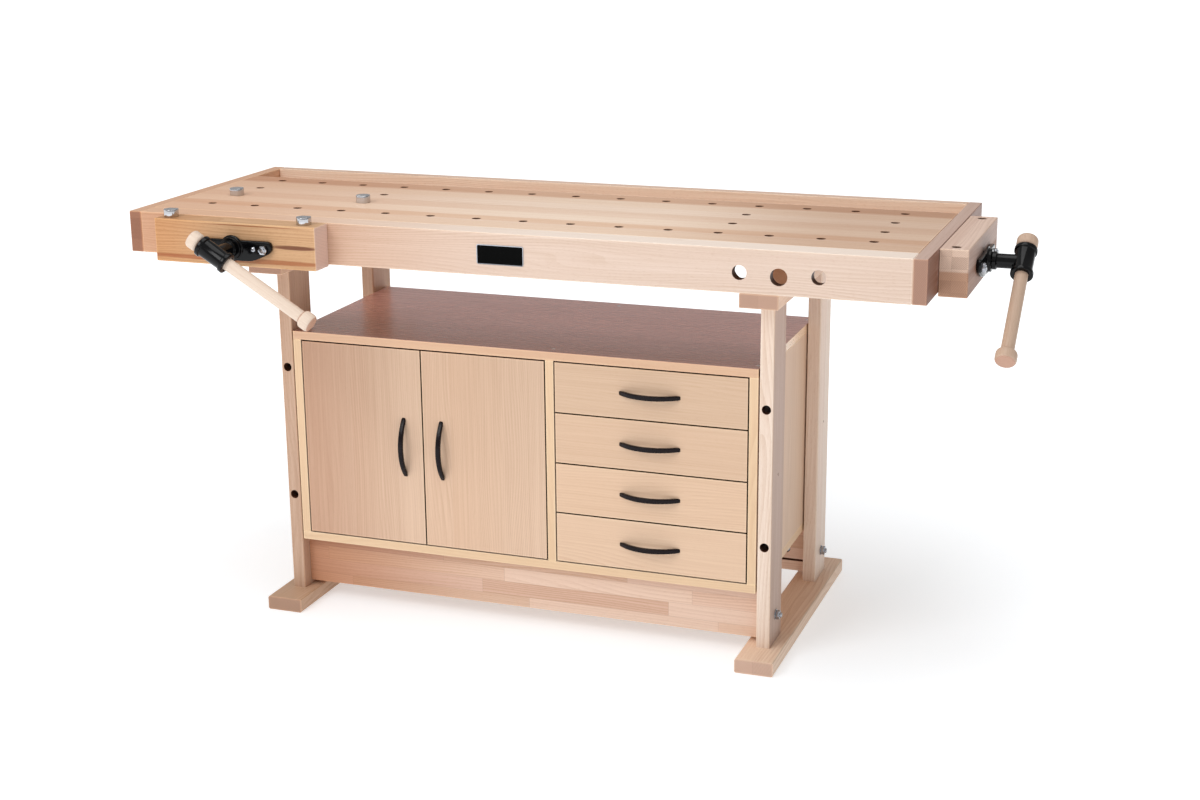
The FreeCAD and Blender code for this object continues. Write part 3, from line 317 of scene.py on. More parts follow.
@dataclass(frozen=True)
class Overlay:
    """Marks and painted shade that only one board has.

    Attributes:
        tints: Its tints, in the order in which they are laid.
        streaks: Its streaks, which lie over the tints.
        along: The axis of the streaks' length.
        across: The axis of the streaks' width.
    """

    tints: tuple[Tint, ...] = ()
    streaks: tuple[Streak, ...] = ()
    along: Axis = Axis.X
    across: Axis = Axis.Z

    RAG_STRETCH = (9.0, 90.0, 90.0)

    def lay(self, work: Shader, colour: object, point: object, shifted: object, ends: Reading) -> object:
        """Lays the marks over a colour.

        Args:
            work: The work on the board's material.
            colour: The colour so far.
            point: The point in the board's frame.
            shifted: The point in the grain.
            ends: 1 on end grain, where no streak shows, and 0 elsewhere.

        Returns:
            The new colour.
        """
        parts = work.parts(point)
        for tint in self.tints:
            colour = tint.lay(work, colour, parts)
        ragged = work.noise(shifted, self.RAG_STRETCH, 3.0)
        for streak in self.streaks:
            places = [parts[self.along.value], parts[self.across.value]]
            strength = streak.strength(work, places, ragged) * (1.0 - ends)
            colour = work.blend(strength, colour, streak.colour, "MULTIPLY")
        return colour


@dataclass(frozen=True)
class Beech:
    """Planed beech, glued up from staves.

    Attributes:
        light: The colour of the pale growth.
        dark: The colour of the late growth and of the darker staves.
        end: The colour of end grain.
        along: The direction of the fibres.
        across: The direction in which the staves lie side by side.
        stave: The width of a stave.
        length: The length of a stave before the next one starts in its row.
        block: The thickness of a layer of staves, where more than one lies through the board.
        variety: How far the staves differ from each other.
        figure: How strongly the growth rings show.
        fibre: How strongly the fine lines show.
        fleck: How strongly the short dark flecks show.
        seam: How dark the glue lines are.
        rings: The number of growth rings in a metre.
        seed: The number that picks the staves' colours.
        sheen: The roughness of the oiled surface.
        gleam: The strength of its reflections.
        varnish: How much of a clear coat lies on it.
        edge: The colour of the narrow faces, where they are banded, or darkened as painted shade in the gaps
            round doors and drawers.
        edge_gleam: The strength of the reflections on those faces.
        bore: The colour of the painted shade on the walls of holes.
    """

    light: Tone
    dark: Tone
    end: Tone
    along: Axis = Axis.X
    across: Axis = Axis.Z
    stave: float = 0.05
    length: float = 60.0
    block: float = 1.0
    variety: float = 0.5
    figure: float = 0.35
    fibre: float = 0.35
    fleck: float = 0.22
    seam: float = 0.25
    rings: float = 170.0
    seed: float = 1.0
    sheen: float = 0.48
    gleam: float = 0.42
    varnish: float = 0.0
    edge: Tone | None = None
    edge_gleam: float = 0.42
    # painted shade on the walls of holes
    bore: Tone | None = tone(84, 46, 28)

    ROSY = tone(232, 200, 190)
    GOLDEN = tone(244, 222, 184)
    GLUE = tone(120, 78, 52)
    ARRIS_HIGHLIGHT = tone(255, 243, 230)
    PORE = tone(118, 78, 60)
    TINTED = 0.4
    SEAM_WIDTH = 0.5 * MM
    SEAM_DEPTH = 0.6
    FIBRE_DEPTH = 0.3 * MM
    ARRIS = 4 * MM
    HOLE_SHADE_DEPTHS = (0.6 * MM, 1.6 * MM)
    FACING = (0.6, 0.8)
    LAYER_SEED = 7.31
    STAVE_SHIFT = (3.0, 0.9, 0.9)
    FIBRE_STRETCH = (5.0, 310.0, 310.0)
    FLECK_STRETCH = (95.0, 760.0, 760.0)
    BROAD_STRETCH = (1.1, 11.0, 11.0)
    STREAK_STRETCH = (2.2, 150.0, 150.0)
    WARP_STRETCH = (1.6, 11.0, 11.0)
    PORE_STRETCH = (30.0, 900.0, 900.0)
    WARP = 15.0
    BAND_RISE = (0.2, 1.1)
    BAND_SHOWS = (0.25, 0.7)
    FLECK_RISE = (0.58, 0.7)
    MEAN_GROWTH = 0.42
    COARSE = 1.1
    FINE = 1.5
    OPEN = 0.22
    EDGE_GRAIN = 0.4
    SHEEN_SPREAD = (-0.06, 0.12)
    SOFT_BUMP = 0.35
    END_RINGS = 110.0

    def dress(self, node: str, *tints: Tint, **marks: object) -> None:
        """Gives a board this finish.

        Args:
            node: The board's name among the solids.
            *tints: The tints that only this board has.
            **marks: The other fields of its overlay.
        """
        overlay = Overlay(tints, **marks) if tints or marks else None
        put_on(node, self.material(node, *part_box(node), overlay=overlay))

    def material(
        self,
        name: str,
        low: Vector,
        high: Vector,
        turn: Matrix | None = None,
        overlay: Overlay | None = None,
    ) -> bpy.types.Material:
        """Makes the finish for one piece.

        Args:
            name: The piece's name.
            low: The lowest corner of its box, where the arrises lie.
            high: The highest corner of its box.
            turn: A matrix from the bench's frame to the piece's own, for a piece that stands askew.
            overlay: Marks that only this piece has.

        Returns:
            The material.
        """
        work = new_material(f"{name}_beech")
        point, way = work.place()
        if turn:
            point, way = self.turned(work, point, way, turn)
        parts, ways = work.parts(point), work.parts(way)
        through = next(axis for axis in Axis if axis not in (self.along, self.across))
        order = [parts[axis.value] for axis in (self.along, self.across, through)]
        stave, seam = self.staves(work, order)
        chance = Reading(work, stave.outputs["Value"])
        shifted = self.shift(work, order, stave)
        fibres = work.noise(shifted, self.FIBRE_STRETCH, 3.0)
        grain = self.growth(work, shifted, chance, fibres)
        colour = work.blend(grain, self.light, self.dark)
        tint = work.add("ShaderNodeSeparateColor", Color=stave.outputs["Color"]).outputs
        for number, shade in ((1, self.ROSY), (2, self.GOLDEN)):
            share = Reading(work, tint[number]) * (self.TINTED * self.variety)
            colour = work.blend(share, colour, shade, "MULTIPLY")
        ends = work.span(abs(ways[self.along.value]), *self.FACING)
        colour = work.blend(ends, colour, self.end_grain(work, shifted, chance))
        gleam = self.gleam
        # narrow faces: real banding on the cabinet's sheets, painted shade in the gaps on the doors and
        # drawers
        if self.edge:
            narrow = 1.0 - work.span(abs(ways[through.value]), *self.FACING)
            strip = work.blend(grain * self.EDGE_GRAIN, self.edge, self.dark, "MULTIPLY")
            colour = work.blend(narrow, colour, strip)
            gleam = work.between(narrow, self.gleam, self.edge_gleam)
        if overlay:
            colour = overlay.lay(work, colour, point, shifted, ends)
        colour = work.blend(seam * self.seam, colour, self.GLUE)
        if not turn:
            colour = self.arris_highlight_and_hole_shade(work, colour, self.nearness(work, parts, low, high))
        rough = work.between(fibres, self.sheen + self.SHEEN_SPREAD[0], self.sheen + self.SHEEN_SPREAD[1])
        work.set(work.surface, Base_Color=colour, Roughness=rough, Specular_IOR_Level=gleam)
        work.set(work.surface, Coat_Weight=self.varnish, Coat_Roughness=self.sheen)
        work.relief(fibres - seam * self.SEAM_DEPTH, self.SOFT_BUMP, self.FIBRE_DEPTH)
        return work.owner

    def turned(self, work: Shader, point: object, way: object, turn: Matrix) -> tuple:
        """Brings the point and the face's direction into the piece's own frame."""
        angles = tuple(turn.to_euler())
        shift = turn.to_translation() + Vector((0, 0, self.stave / 2))
        moved = work.add(
            "ShaderNodeMapping", {"vector_type": "POINT"}, Vector=point, Location=shift, Rotation=angles
        )
        faced = work.add("ShaderNodeMapping", {"vector_type": "VECTOR"}, Vector=way, Rotation=angles)
        return moved.outputs[0], faced.outputs[0]

    def staves(self, work: Shader, order: list[Reading]) -> tuple[bpy.types.Node, Reading]:
        """Picks a number and a colour for each stave, and marks its glue lines.

        Args:
            work: The work on the material.
            order: The place along the fibres, across the staves and through the board.

        Returns:
            The node that picks, and the glue lines, 1 in their middle.
        """
        row_place = order[1] / self.stave
        layer_place = order[2] / self.block + 0.5
        row, layer = work.step("FLOOR", row_place), work.step("FLOOR", layer_place)
        seed = layer * self.LAYER_SEED + self.seed
        start = work.add("ShaderNodeTexWhiteNoise", {"noise_dimensions": "1D"}, W=row + seed)
        run = order[0] / self.length + Reading(work, start.outputs["Value"])
        key = work.add("ShaderNodeCombineXYZ", X=row, Y=work.step("FLOOR", run), Z=seed)
        stave = work.add("ShaderNodeTexWhiteNoise", {"noise_dimensions": "3D"}, Vector=key.outputs[0])
        lines = []
        for place, width in ((row_place, self.stave), (run, self.length), (layer_place, self.block)):
            part = work.step("FRACT", place)
            edge = work.least(part, 1.0 - part) * width
            lines.append(1.0 - work.span(edge, 0.0, self.SEAM_WIDTH))
        return stave, work.most(*lines)

    def shift(self, work: Shader, order: list[Reading], stave: bpy.types.Node) -> bpy.types.NodeSocket:
        """Gives each stave a place of its own in the grain, with X along the fibres."""
        flat = work.add("ShaderNodeCombineXYZ", X=order[0], Y=order[1], Z=order[2])
        away = work.vector("MULTIPLY_ADD", stave.outputs["Color"], self.STAVE_SHIFT, flat.outputs[0])
        return away.outputs[0]

    def growth(self, work: Shader, shifted: object, chance: Reading, fibres: Reading) -> Reading:
        """The share of dark growth: broad bands, cathedral figure, fine fibres and short flecks."""
        broad = work.noise(shifted, self.BROAD_STRETCH)
        parts = work.parts(shifted)
        warp = work.noise(shifted, self.WARP_STRETCH, 1.0) * self.WARP
        bands = work.step("FRACT", (parts[1] + parts[2] * 0.5) * self.rings + warp)
        shown = (work.span(bands, *self.BAND_RISE) - 0.5) * work.span(broad, *self.BAND_SHOWS)
        flecks = work.span(work.noise(shifted, self.FLECK_STRETCH, 1.0), *self.FLECK_RISE)
        streaks = work.noise(shifted, self.STREAK_STRETCH)
        total = (chance - 0.5) * self.variety
        total += (broad - 0.5) * (self.COARSE * self.figure)
        total += (streaks - 0.5) * (self.COARSE * self.fibre)
        total += (fibres - 0.5) * (self.FINE * self.fibre)
        total += shown * (self.COARSE * self.figure)
        total += flecks * self.fleck
        return work.least(work.most(total + self.MEAN_GROWTH, 0.0), 1.0)

    def end_grain(self, work: Shader, shifted: object, chance: Reading) -> bpy.types.NodeSocket:
        """The colour where the fibres end: curved rings with open pores."""
        circles = {"wave_type": "RINGS", "rings_direction": "X"}
        rough = {"Distortion": 2.2, "Detail": 2.0, "Detail_Scale": 1.4}
        wave = work.add("ShaderNodeTexWave", circles, Vector=shifted, Scale=self.END_RINGS, **rough)
        pores = work.noise(shifted, self.PORE_STRETCH, 1.0)
        dark = Reading(work, wave.outputs["Fac"]) * self.OPEN + pores * self.OPEN
        dark += chance * (0.5 * self.variety)
        return work.blend(dark, self.end, self.PORE)

    def nearness(self, work: Shader, parts: list[Reading], low: Vector, high: Vector) -> list[Reading]:
        """The distance to the nearer side of the board's box, along each axis."""
        return [work.least(part - start, end - part) for part, start, end in zip(parts, low, high)]

    def arris_highlight_and_hole_shade(self, work: Shader, colour: object, near: list[Reading]) -> object:
        """Paints a highlight on the eased edges, where two sides are near, and paints shade on the walls of
        holes.
        """
        total = -1.0
        for distance in near:
            total = total + (1.0 - work.span(distance, 0.0, self.ARRIS))
        # painted highlight along the eased edges, where the arrises catch the light
        colour = work.blend(work.most(total, 0.0) * 0.5, colour, self.ARRIS_HIGHLIGHT, "SOFT_LIGHT")
        if self.bore:
            # painted shade on the walls of holes, deeper than a skin from the faces
            colour = work.blend(work.span(work.least(*near), *self.HOLE_SHADE_DEPTHS), colour, self.bore)
        return colour


def put_on(node: str, material: bpy.types.Material) -> None:
    """Gives a solid its material."""
    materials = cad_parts[node].data.materials
    materials.clear()
    materials.append(material)


@dataclass(frozen=True)
class BlackEnamel:
    """Gloss black enamel over a sand casting.

    Attributes:
        colour: The enamel's colour.
        sheen: Its roughness.
        grit: The size of the casting's lumps, as lumps in a metre.
        depth: Their height.
        gleam: The strength of its reflections.
    """

    colour: Tone
    sheen: float
    grit: float
    depth: float
    gleam: float

    def material(self, name: str) -> bpy.types.Material:
        """Makes the finish."""
        work = new_material(name)
        point, _ = work.place()
        dust = work.noise(point, self.grit * 0.14, 4.0)
        dusty = tuple(2 * share for share in self.colour)
        colour = work.blend(work.span(dust, 0.45, 0.8), self.colour, dusty)
        rough = work.between(dust, self.sheen * 0.7, self.sheen * 1.7)
        work.set(work.surface, Base_Color=colour, Roughness=rough, Specular_IOR_Level=self.gleam)
        work.relief(work.noise(point, self.grit, 3.0), 0.35, self.depth)
        return work.owner


@dataclass(frozen=True)
class Steel:
    """Bare or plated steel.

    Attributes:
        colour: The metal's colour.
        stain: The colour of its dull patches.
        sheen: Its roughness.
        lines: Turning or drawing marks in a metre, along each axis.
        lacquer: The colour of the lacquer on what lies far out.
    """

    colour: Tone
    stain: Tone
    sheen: float
    lines: tuple[float, float, float]
    lacquer: Tone = (0.08, 0.036, 0.027)

    def material(self, name: str, middle: float = 0.0, bare: float | None = None) -> bpy.types.Material:
        """Makes the finish.

        Args:
            name: The material's name.
            middle: The place along X that the bare steel lies round.
            bare: The distance from there within which it is bare. With none, all of it is.

        Returns:
            The material.
        """
        work = new_material(name)
        point, _ = work.place()
        marks = work.noise(point, self.lines)
        patches = work.noise(point, 140.0, 4.0)
        colour = work.blend(work.span(patches, 0.5, 0.9), self.colour, self.stain)
        if bare:
            far = work.span(abs(work.parts(point)[0] - middle), bare + 1 * MM, bare + 2 * MM)
            colour = work.blend(far, colour, self.lacquer)
        rough = work.between(marks * 0.7 + patches * 0.3, self.sheen * 0.8, self.sheen * 1.3)
        work.set(work.surface, Base_Color=colour, Roughness=rough, Metallic=1.0)
        work.relief(marks, 0.1, 0.02 * MM)
        return work.owner


EVEN_MARKS = (160.0, 160.0, 160.0)


class Finish(Enum):
    """The metal finishes, each with the material slot that it belongs to."""

    CASTING = (BlackEnamel((0.002, 0.002, 0.0024), 0.1, 520.0, 0.18 * MM, 0.2), "black_casting")
    BOW = (BlackEnamel((0.006, 0.003, 0.004), 0.2, 1900.0, 0.04 * MM, 0.16), "black_handle")
    FIELD = (BlackEnamel((0.002, 0.002, 0.002), 0.45, 2600.0, 0.03 * MM, 0.03), "black_handle")
    BRIGHT = (Steel((0.55, 0.55, 0.57), (0.5, 0.5, 0.52), 0.1, (60.0, 60.0, 900.0)), "bright_steel")
    ZINC = (Steel((0.45, 0.465, 0.5), (0.36, 0.36, 0.36), 0.2, EVEN_MARKS), "zinc_steel")

    def material(self) -> bpy.types.Material:
        """The finish's material, made once."""
        name = f"{self.name.lower()}_finish"
        return bpy.data.materials.get(name) or self.value[0].material(name)


# ---------------------------------------------------------------- mesh work


class Facets(IntEnum):
    """The number of facets round a turned shape, by its size."""

    TINY = 24
    SMALL = 32
    FAIR = 40
    LARGE = 48
    WIDE = 56
    WIDEST = 64


class Stock:
    """A mesh under work, in a frame of its own, that becomes one piece."""

    CORNER_FACETS = 8

    def __init__(self, place: Matrix | None = None) -> None:
        """Starts an empty mesh.

        Args:
            place: The matrix that brings the finished shape into the bench's frame.
        """
        self.bm = bmesh.new()
        self.place = place or Matrix.Identity(4)

    def lathe(self, outline: Outline, at: Matrix, steps: int = Facets.LARGE, closed: bool = False) -> None:
        """Turns an outline about the X axis of a frame.

        Args:
            outline: Points of (place along the axis, radius).
            at: The frame of the axis.
            steps: The number of facets in a full turn.
            closed: Whether the outline closes on itself, as on a ring.
        """
        points = [self.bm.verts.new(at @ Vector((along, radius, 0))) for along, radius in outline]
        pairs = list(zip(points, points[1:]))
        if closed:
            pairs.append((points[-1], points[0]))
        lines = [self.bm.edges.new(pair) for pair in pairs]
        bmesh.ops.spin(
            self.bm, geom=points + lines, cent=at.to_translation(), axis=at.to_3x3() @ Vector((1, 0, 0)),
            angle=FULL_TURN, steps=steps, use_merge=True,
        )

    def slab(self, corners: Outline, at: Matrix, thickness: float, radius: float) -> None:
        """Raises a flat outline with round corners into a plate.

        Args:
            corners: The outline's corners in the frame's X and Y.
            at: The frame of the outline; the plate grows along its Z.
            thickness: The plate's thickness.
            radius: The radius of the corners.
        """
        points = [self.bm.verts.new(at @ Vector((x, y, 0))) for x, y in corners]
        self.bm.faces.new(points)
        made = self.round_off(points, radius, self.CORNER_FACETS, "VERTICES")
        face = max(made["faces"] or made["verts"][0].link_faces, key=lambda each: each.calc_area())
        self.raise_faces([face], at.to_3x3() @ Vector((0, 0, thickness)))

    def raise_faces(self, faces: list[bmesh.types.BMFace], move: Vector) -> None:
        """Extrudes flat faces into a closed block."""
        made = bmesh.ops.extrude_face_region(self.bm, geom=faces, use_keep_orig=True)["geom"]
        fresh = [part for part in made if isinstance(part, bmesh.types.BMVert)]
        bmesh.ops.translate(self.bm, verts=fresh, vec=move)

    def round_off(self, geom: list, width: float, segments: int, affect: str) -> dict:
        """Rounds edges or corners.

        Args:
            geom: The edges, or the corner points.
            width: How far from them the round starts.
            segments: The number of facets across it.
            affect: "EDGES" or "VERTICES".

        Returns:
            The faces, edges and points that were made.
        """
        return bmesh.ops.bevel(
            self.bm, geom=geom, offset=width, offset_type="OFFSET", segments=segments, profile=0.5,
            affect=affect, clamp_overlap=affect == "EDGES", material=-1,
        )

    def rod(self, radius: float, length: float, at: Matrix, chamfer: float, steps: int = Facets.FAIR) -> None:
        """A solid bar along a frame's X with chamfered ends."""
        near_end = [(0, 0), (0, radius - chamfer), (chamfer, radius)]
        far_end = [(length - chamfer, radius), (length, radius - chamfer), (length, 0)]
        self.lathe(near_end + far_end, at, steps)

    def ease(self, width: float, segments: int = 2, above: float = math.radians(38)) -> None:
        """Rounds every edge that is sharper than an angle."""
        self.tidy()
        shared = [edge for edge in self.bm.edges if len(edge.link_faces) == 2]
        sharp = [edge for edge in shared if edge.calc_face_angle(0.0) > above]
        self.round_off(sharp, width, segments, "EDGES")

    def tidy(self) -> None:
        """Merges doubled points and turns every face outwards."""
        bmesh.ops.remove_doubles(self.bm, verts=self.bm.verts[:], dist=MERGE)
        bmesh.ops.dissolve_degenerate(self.bm, edges=self.bm.edges[:], dist=MERGE)
        bmesh.ops.recalc_face_normals(self.bm, faces=self.bm.faces[:])

    def piece(
        self, name: str, body: str, slot: str, *materials: bpy.types.Material, stands_for: str | None = None
    ) -> None:
        """Makes the piece and lets it ride on its body.

        Args:
            name: The piece's name.
            body: The body that it moves with.
            slot: The record's material slot; not used.
            *materials: Its materials, in the order of the faces' numbers.
            stands_for: The solid that it replaces.
        """
        self.tidy()
        bmesh.ops.transform(self.bm, matrix=self.place, verts=self.bm.verts[:])
        mesh = bpy.data.meshes.new(name)
        self.bm.to_mesh(mesh)
        self.bm.free()
        for material in materials:
            mesh.materials.append(material)
        mesh.shade_smooth()
        mesh.set_sharp_from_angle(angle=SMOOTH_BELOW)
        made = bpy.data.objects.new(name, mesh)
        bpy.context.scene.collection.objects.link(made)
        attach(made, body)
        if stands_for:
            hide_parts(stands_for)
        log.info("%s rides on %s", name, body)

    def stand_in(self, node: str, word: str, body: str, finish: Finish, slot: str | None = None) -> None:
        """Makes the piece that stands for a solid.

        Args:
            node: The solid's name.
            word: How the piece is made, which ends its name.
            body: The body that it moves with.
            finish: Its finish.
            slot: The record's material slot, where it isn't the finish's own.
        """
        self.piece(f"{node}_{word}", body, slot or finish.value[1], finish.material(), stands_for=node)


def facing(direction: tuple[float, float, float], at: Vector | tuple = (0, 0, 0)) -> Matrix:
    """A frame whose X axis points in a direction.

    Args:
        direction: Where X points.
        at: The frame's origin.

    Returns:
        The frame's matrix.
    """
    return Matrix.Translation(at) @ Vector(direction).to_track_quat("X", "Z").to_matrix().to_4x4()


def tipped(at: Vector | tuple, turn: float = QUARTER_TURN) -> Matrix:
    """A frame at a place, turned about X, so that its Z points to -Y, or to +Y with the turn reversed."""
    return Matrix.Translation(at) @ Matrix.Rotation(turn, 4, "X")


def rectangle(wide: float, tall: float) -> Outline:
    """The corners of a rectangle round the origin, from half its width and half its height."""
    return [(-wide, -tall), (wide, -tall), (wide, tall), (-wide, tall)]


def arc(centre: tuple[float, float], radius: float, start: float, end: float, steps: int = 6) -> Outline:
    """Points on a round stretch of an outline, from one angle in degrees to another."""
    angles = [math.radians(start + (end - start) * step / steps) for step in range(steps + 1)]
    return [(centre[0] + radius * math.cos(a), centre[1] + radius * math.sin(a)) for a in angles]


def hexagon(stock: Stock, flats: float, height: float, at: Matrix) -> None:
    """A hexagonal nut along X."""
    radius = flats / math.sqrt(3)
    sizes = {"segments": 6, "radius1": radius, "radius2": radius, "depth": height}
    made = bmesh.ops.create_cone(stock.bm, cap_ends=True, **sizes)
    turn = at @ Matrix.Translation((height / 2, 0, 0)) @ Matrix.Rotation(QUARTER_TURN, 4, "Y")
    bmesh.ops.transform(stock.bm, matrix=turn, verts=made["verts"])


# ---------------------------------------------------------------- vises


@dataclass
class Vise:
    """A screw vise: jaw plate, screw, T hub with its sliding handle, and two guide rods.

    The shapes are made in a frame whose X runs along the jaw, whose -Y points away from the bench, and
    whose origin lies on the screw's axis at the bench's outer face.

    Attributes:
        side: "front" or "tail".
        turn: The turn about Z from the vise's frame to the bench's.
        tilt: The angle of the handle above the frame's X, in degrees.
        gap: The opening between the jaw and the bench.
        jaw: The jaw's thickness.
        wall: The thickness of the board that the vise is mounted on.
        knob: The diameter of the handle's knobs.
        wood: The handle's finish.

    The other fields are sizes of the parts that their names begin with. A name alone is a radius. The
    last three are found when the vise is placed: its frame, the jaw's outer face along Y, and how far out
    of the origin the hub's neck begins.
    """

    side: str
    turn: float
    tilt: float
    gap: float
    jaw: float
    wall: float
    knob: float
    wood: Beech
    plate_half: float = 90.5 * MM
    plate_flat: float = 45 * MM
    plate_rise: float = 17 * MM
    plate_fall: float = 26 * MM
    plate_end_fall: float = 6 * MM
    plate_thick: float = 10 * MM
    plate_corner: float = 11 * MM
    plate_ease: float = 2.2 * MM
    boss: float = 23 * MM
    boss_flare: float = 4 * MM
    boss_ease: float = 1.6 * MM
    boss_high: float = 8 * MM
    boss_root: float = 1 * MM
    nut_boss: float = 20 * MM
    nut_boss_high: float = 36 * MM
    play: float = 0.3 * MM
    rod: float = 8 * MM
    rod_chamfer: float = 1 * MM
    rod_tip: float = 6 * MM
    rod_tip_chamfer: float = 0.8 * MM
    rod_spread: float = 74 * MM
    rod_rise: float = 0.0
    rod_nut: float = 17 * MM
    rod_nut_high: float = 7 * MM
    rod_proud: float = 2 * MM
    rod_spare: float = 20 * MM
    travel: float = 139.5 * MM
    screw_head: float = 5.5 * MM
    screw_head_high: float = 3.5 * MM
    screw_socket: float = 2.1 * MM
    screw_spread: float = 49.5 * MM
    screw: float = 12 * MM
    screw_play: float = 0.1 * MM
    lead: float = 6 * MM
    thread_depth: float = 1.5 * MM
    spigot: float = 9 * MM
    spigot_long: float = 30 * MM
    collar: float = 17 * MM
    collar_wide: float = 6 * MM
    screw_tail: float = 5 * MM
    reach: float = 79 * MM
    tube: float = 19.5 * MM
    tube_half: float = 34 * MM
    rim: float = 22.5 * MM
    rim_wide: float = 9 * MM
    bore: float = 13.3 * MM
    neck: float = 14.5 * MM
    neck_collar: float = 18 * MM
    neck_collar_wide: float = 9 * MM
    bar: float = 13 * MM
    span: float = 257 * MM
    knob_long: float = 28 * MM
    knob_shoulder: float = 10 * MM
    knob_nose: float = 7.5 * MM
    knob_root: float = 0.5 * MM
    spigot_chamfer: float = 0.6 * MM
    tail_chamfer: float = 1.5 * MM
    neck_ease: float = 1.2 * MM
    neck_fillet: float = 2 * MM
    hub_ease: float = 1.6 * MM
    weld: float = 0.6 * MM
    steel_ease: float = 0.45 * MM
    place: Matrix = field(init=False)
    face: float = field(init=False)
    seat: float = field(init=False)

    TOOTH = ((0, 0), (0.28, 0), (0.42, 1), (0.78, 1), (0.92, 0), (1, 0))
    THREAD_FACETS = 20
    DOME_TURNS = (0, 0.3, 0.6, 0.9, 1.15)

    def __post_init__(self) -> None:
        """Finds the vise's frame from the screw's solid and the board behind it."""
        low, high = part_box(f"{self.side}_vise_screw")
        middle = (low + high) / 2
        jaw_low, jaw_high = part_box(f"{self.side}_jaw")
        if self.side == "front":
            middle.y = jaw_high.y + self.gap
        else:
            middle.x = jaw_low.x - self.gap
        self.place = Matrix.Translation(middle) @ Matrix.Rotation(self.turn, 4, "Z")
        self.face = -(self.gap + self.jaw)
        self.seat = -self.face + self.plate_thick + self.boss_high + self.play

    def build(self) -> None:
        """Makes every piece of the vise."""
        self.jaw_plate()
        self.lead_screw()
        self.hub()
        self.handle()
        self.rods()

    def outline(self) -> Outline:
        """The plate's corners, in X and Z."""
        right = [(self.plate_half, self.plate_rise), (self.plate_half, -self.plate_end_fall)]
        right.append((self.plate_flat, -self.plate_fall))
        return right + [(-x, z) for x, z in reversed(right)]

    def casting(self, stock: Stock, back: float, boss: float, boss_high: float, outwards: float) -> None:
        """A plate with its boss, cast in one.

        Args:
            stock: The mesh under work.
            back: The place of the plate's seat, along Y.
            boss: The boss's radius.
            boss_high: The boss's height.
            outwards: -1 where the plate grows towards -Y, and 1 where it grows towards +Y.
        """
        stock.slab(self.outline(), tipped((0, back, 0)), -outwards * self.plate_thick, self.plate_corner)
        stock.ease(self.plate_ease, 3)
        start, top = self.plate_thick - self.boss_root, self.plate_thick + boss_high
        root = self.screw + self.screw_play
        flare, round_off = self.boss_flare, self.boss_ease
        outline = [(start, root), (start, boss + flare)]
        outline += arc((self.plate_thick + flare, boss + flare), flare, 180, 270)
        outline += arc((top - round_off, boss - round_off), round_off, 90, 0)
        outline.append((top, root))
        stock.lathe(outline, facing((0, outwards, 0), (0, back, 0)), Facets.WIDE, closed=True)

    def domed_screw(self, stock: Stock, x: float, y: float, outwards: float) -> None:
        """A dome-headed socket screw that holds a plate on its wood."""
        high, wide, socket = self.screw_head_high, self.screw_head, self.screw_socket
        outline = [(0, 0)] + [(high * math.sin(turn), wide * math.cos(turn)) for turn in self.DOME_TURNS]
        floor = high - socket * 0.8
        outline += [(high, socket), (floor, socket * 0.95), (floor, 0)]
        stock.lathe(outline, facing((0, outwards, 0), (x, y, self.rod_rise)), Facets.SMALL)

    def jaw_plate(self) -> None:
        """The glossy cast plate on the jaw."""
        stock = Stock(self.place)
        self.casting(stock, self.face, self.boss, self.boss_high, -1)
        stock.stand_in(f"{self.side}_vise_plate", "cast", f"{self.side}_jaw", Finish.CASTING)

    def lead_screw(self) -> None:
        """The screw, with its thread cut as one long helix from the collar to the tail."""
        stock = Stock(self.place)
        axis = facing((0, -1, 0))
        tip = self.seat + self.spigot_long
        ring = -self.face - self.play
        ring_end = ring - self.collar_wide
        root = self.screw - self.thread_depth
        tail = -(self.wall + self.plate_thick + self.nut_boss_high + self.travel + self.screw_tail)
        nose, taper = self.spigot_chamfer, self.tail_chamfer
        journal = [(tip, 0), (tip, self.spigot - nose), (tip - nose, self.spigot), (self.seat, self.spigot)]
        journal += [(self.seat, self.screw), (ring, self.screw), (ring, self.collar), (ring_end, self.collar)]
        journal += [(ring_end, root), (tail + taper, root - 0.02 * MM), (tail, root - taper), (tail, 0)]
        stock.lathe(journal, axis, Facets.FAIR)
        start = ring_end - 1 * MM
        turns = int((start - tail) / self.lead) - 1
        tooth = [(start - share * self.lead, self.screw if crest else root) for share, crest in self.TOOTH]
        points = [stock.bm.verts.new(axis @ Vector((along, radius, 0))) for along, radius in tooth]
        lines = [stock.bm.edges.new(pair) for pair in zip(points, points[1:])]
        bmesh.ops.spin(
            stock.bm, geom=points + lines, cent=(0, 0, 0), axis=(0, -1, 0),
            dvec=Vector((0, self.lead / self.THREAD_FACETS, 0)), angle=FULL_TURN * turns,
            steps=self.THREAD_FACETS * turns, use_merge=False,
        )
        stock.stand_in(f"{self.side}_vise_screw", "cut", f"{self.side}_screw", Finish.BRIGHT)

    def handle_frame(self) -> Matrix:
        """The frame whose X runs down the handle, at the middle of the hub."""
        angle = math.radians(self.tilt)
        return facing((math.cos(angle), 0, math.sin(angle)), (0, self.face - self.reach, 0))

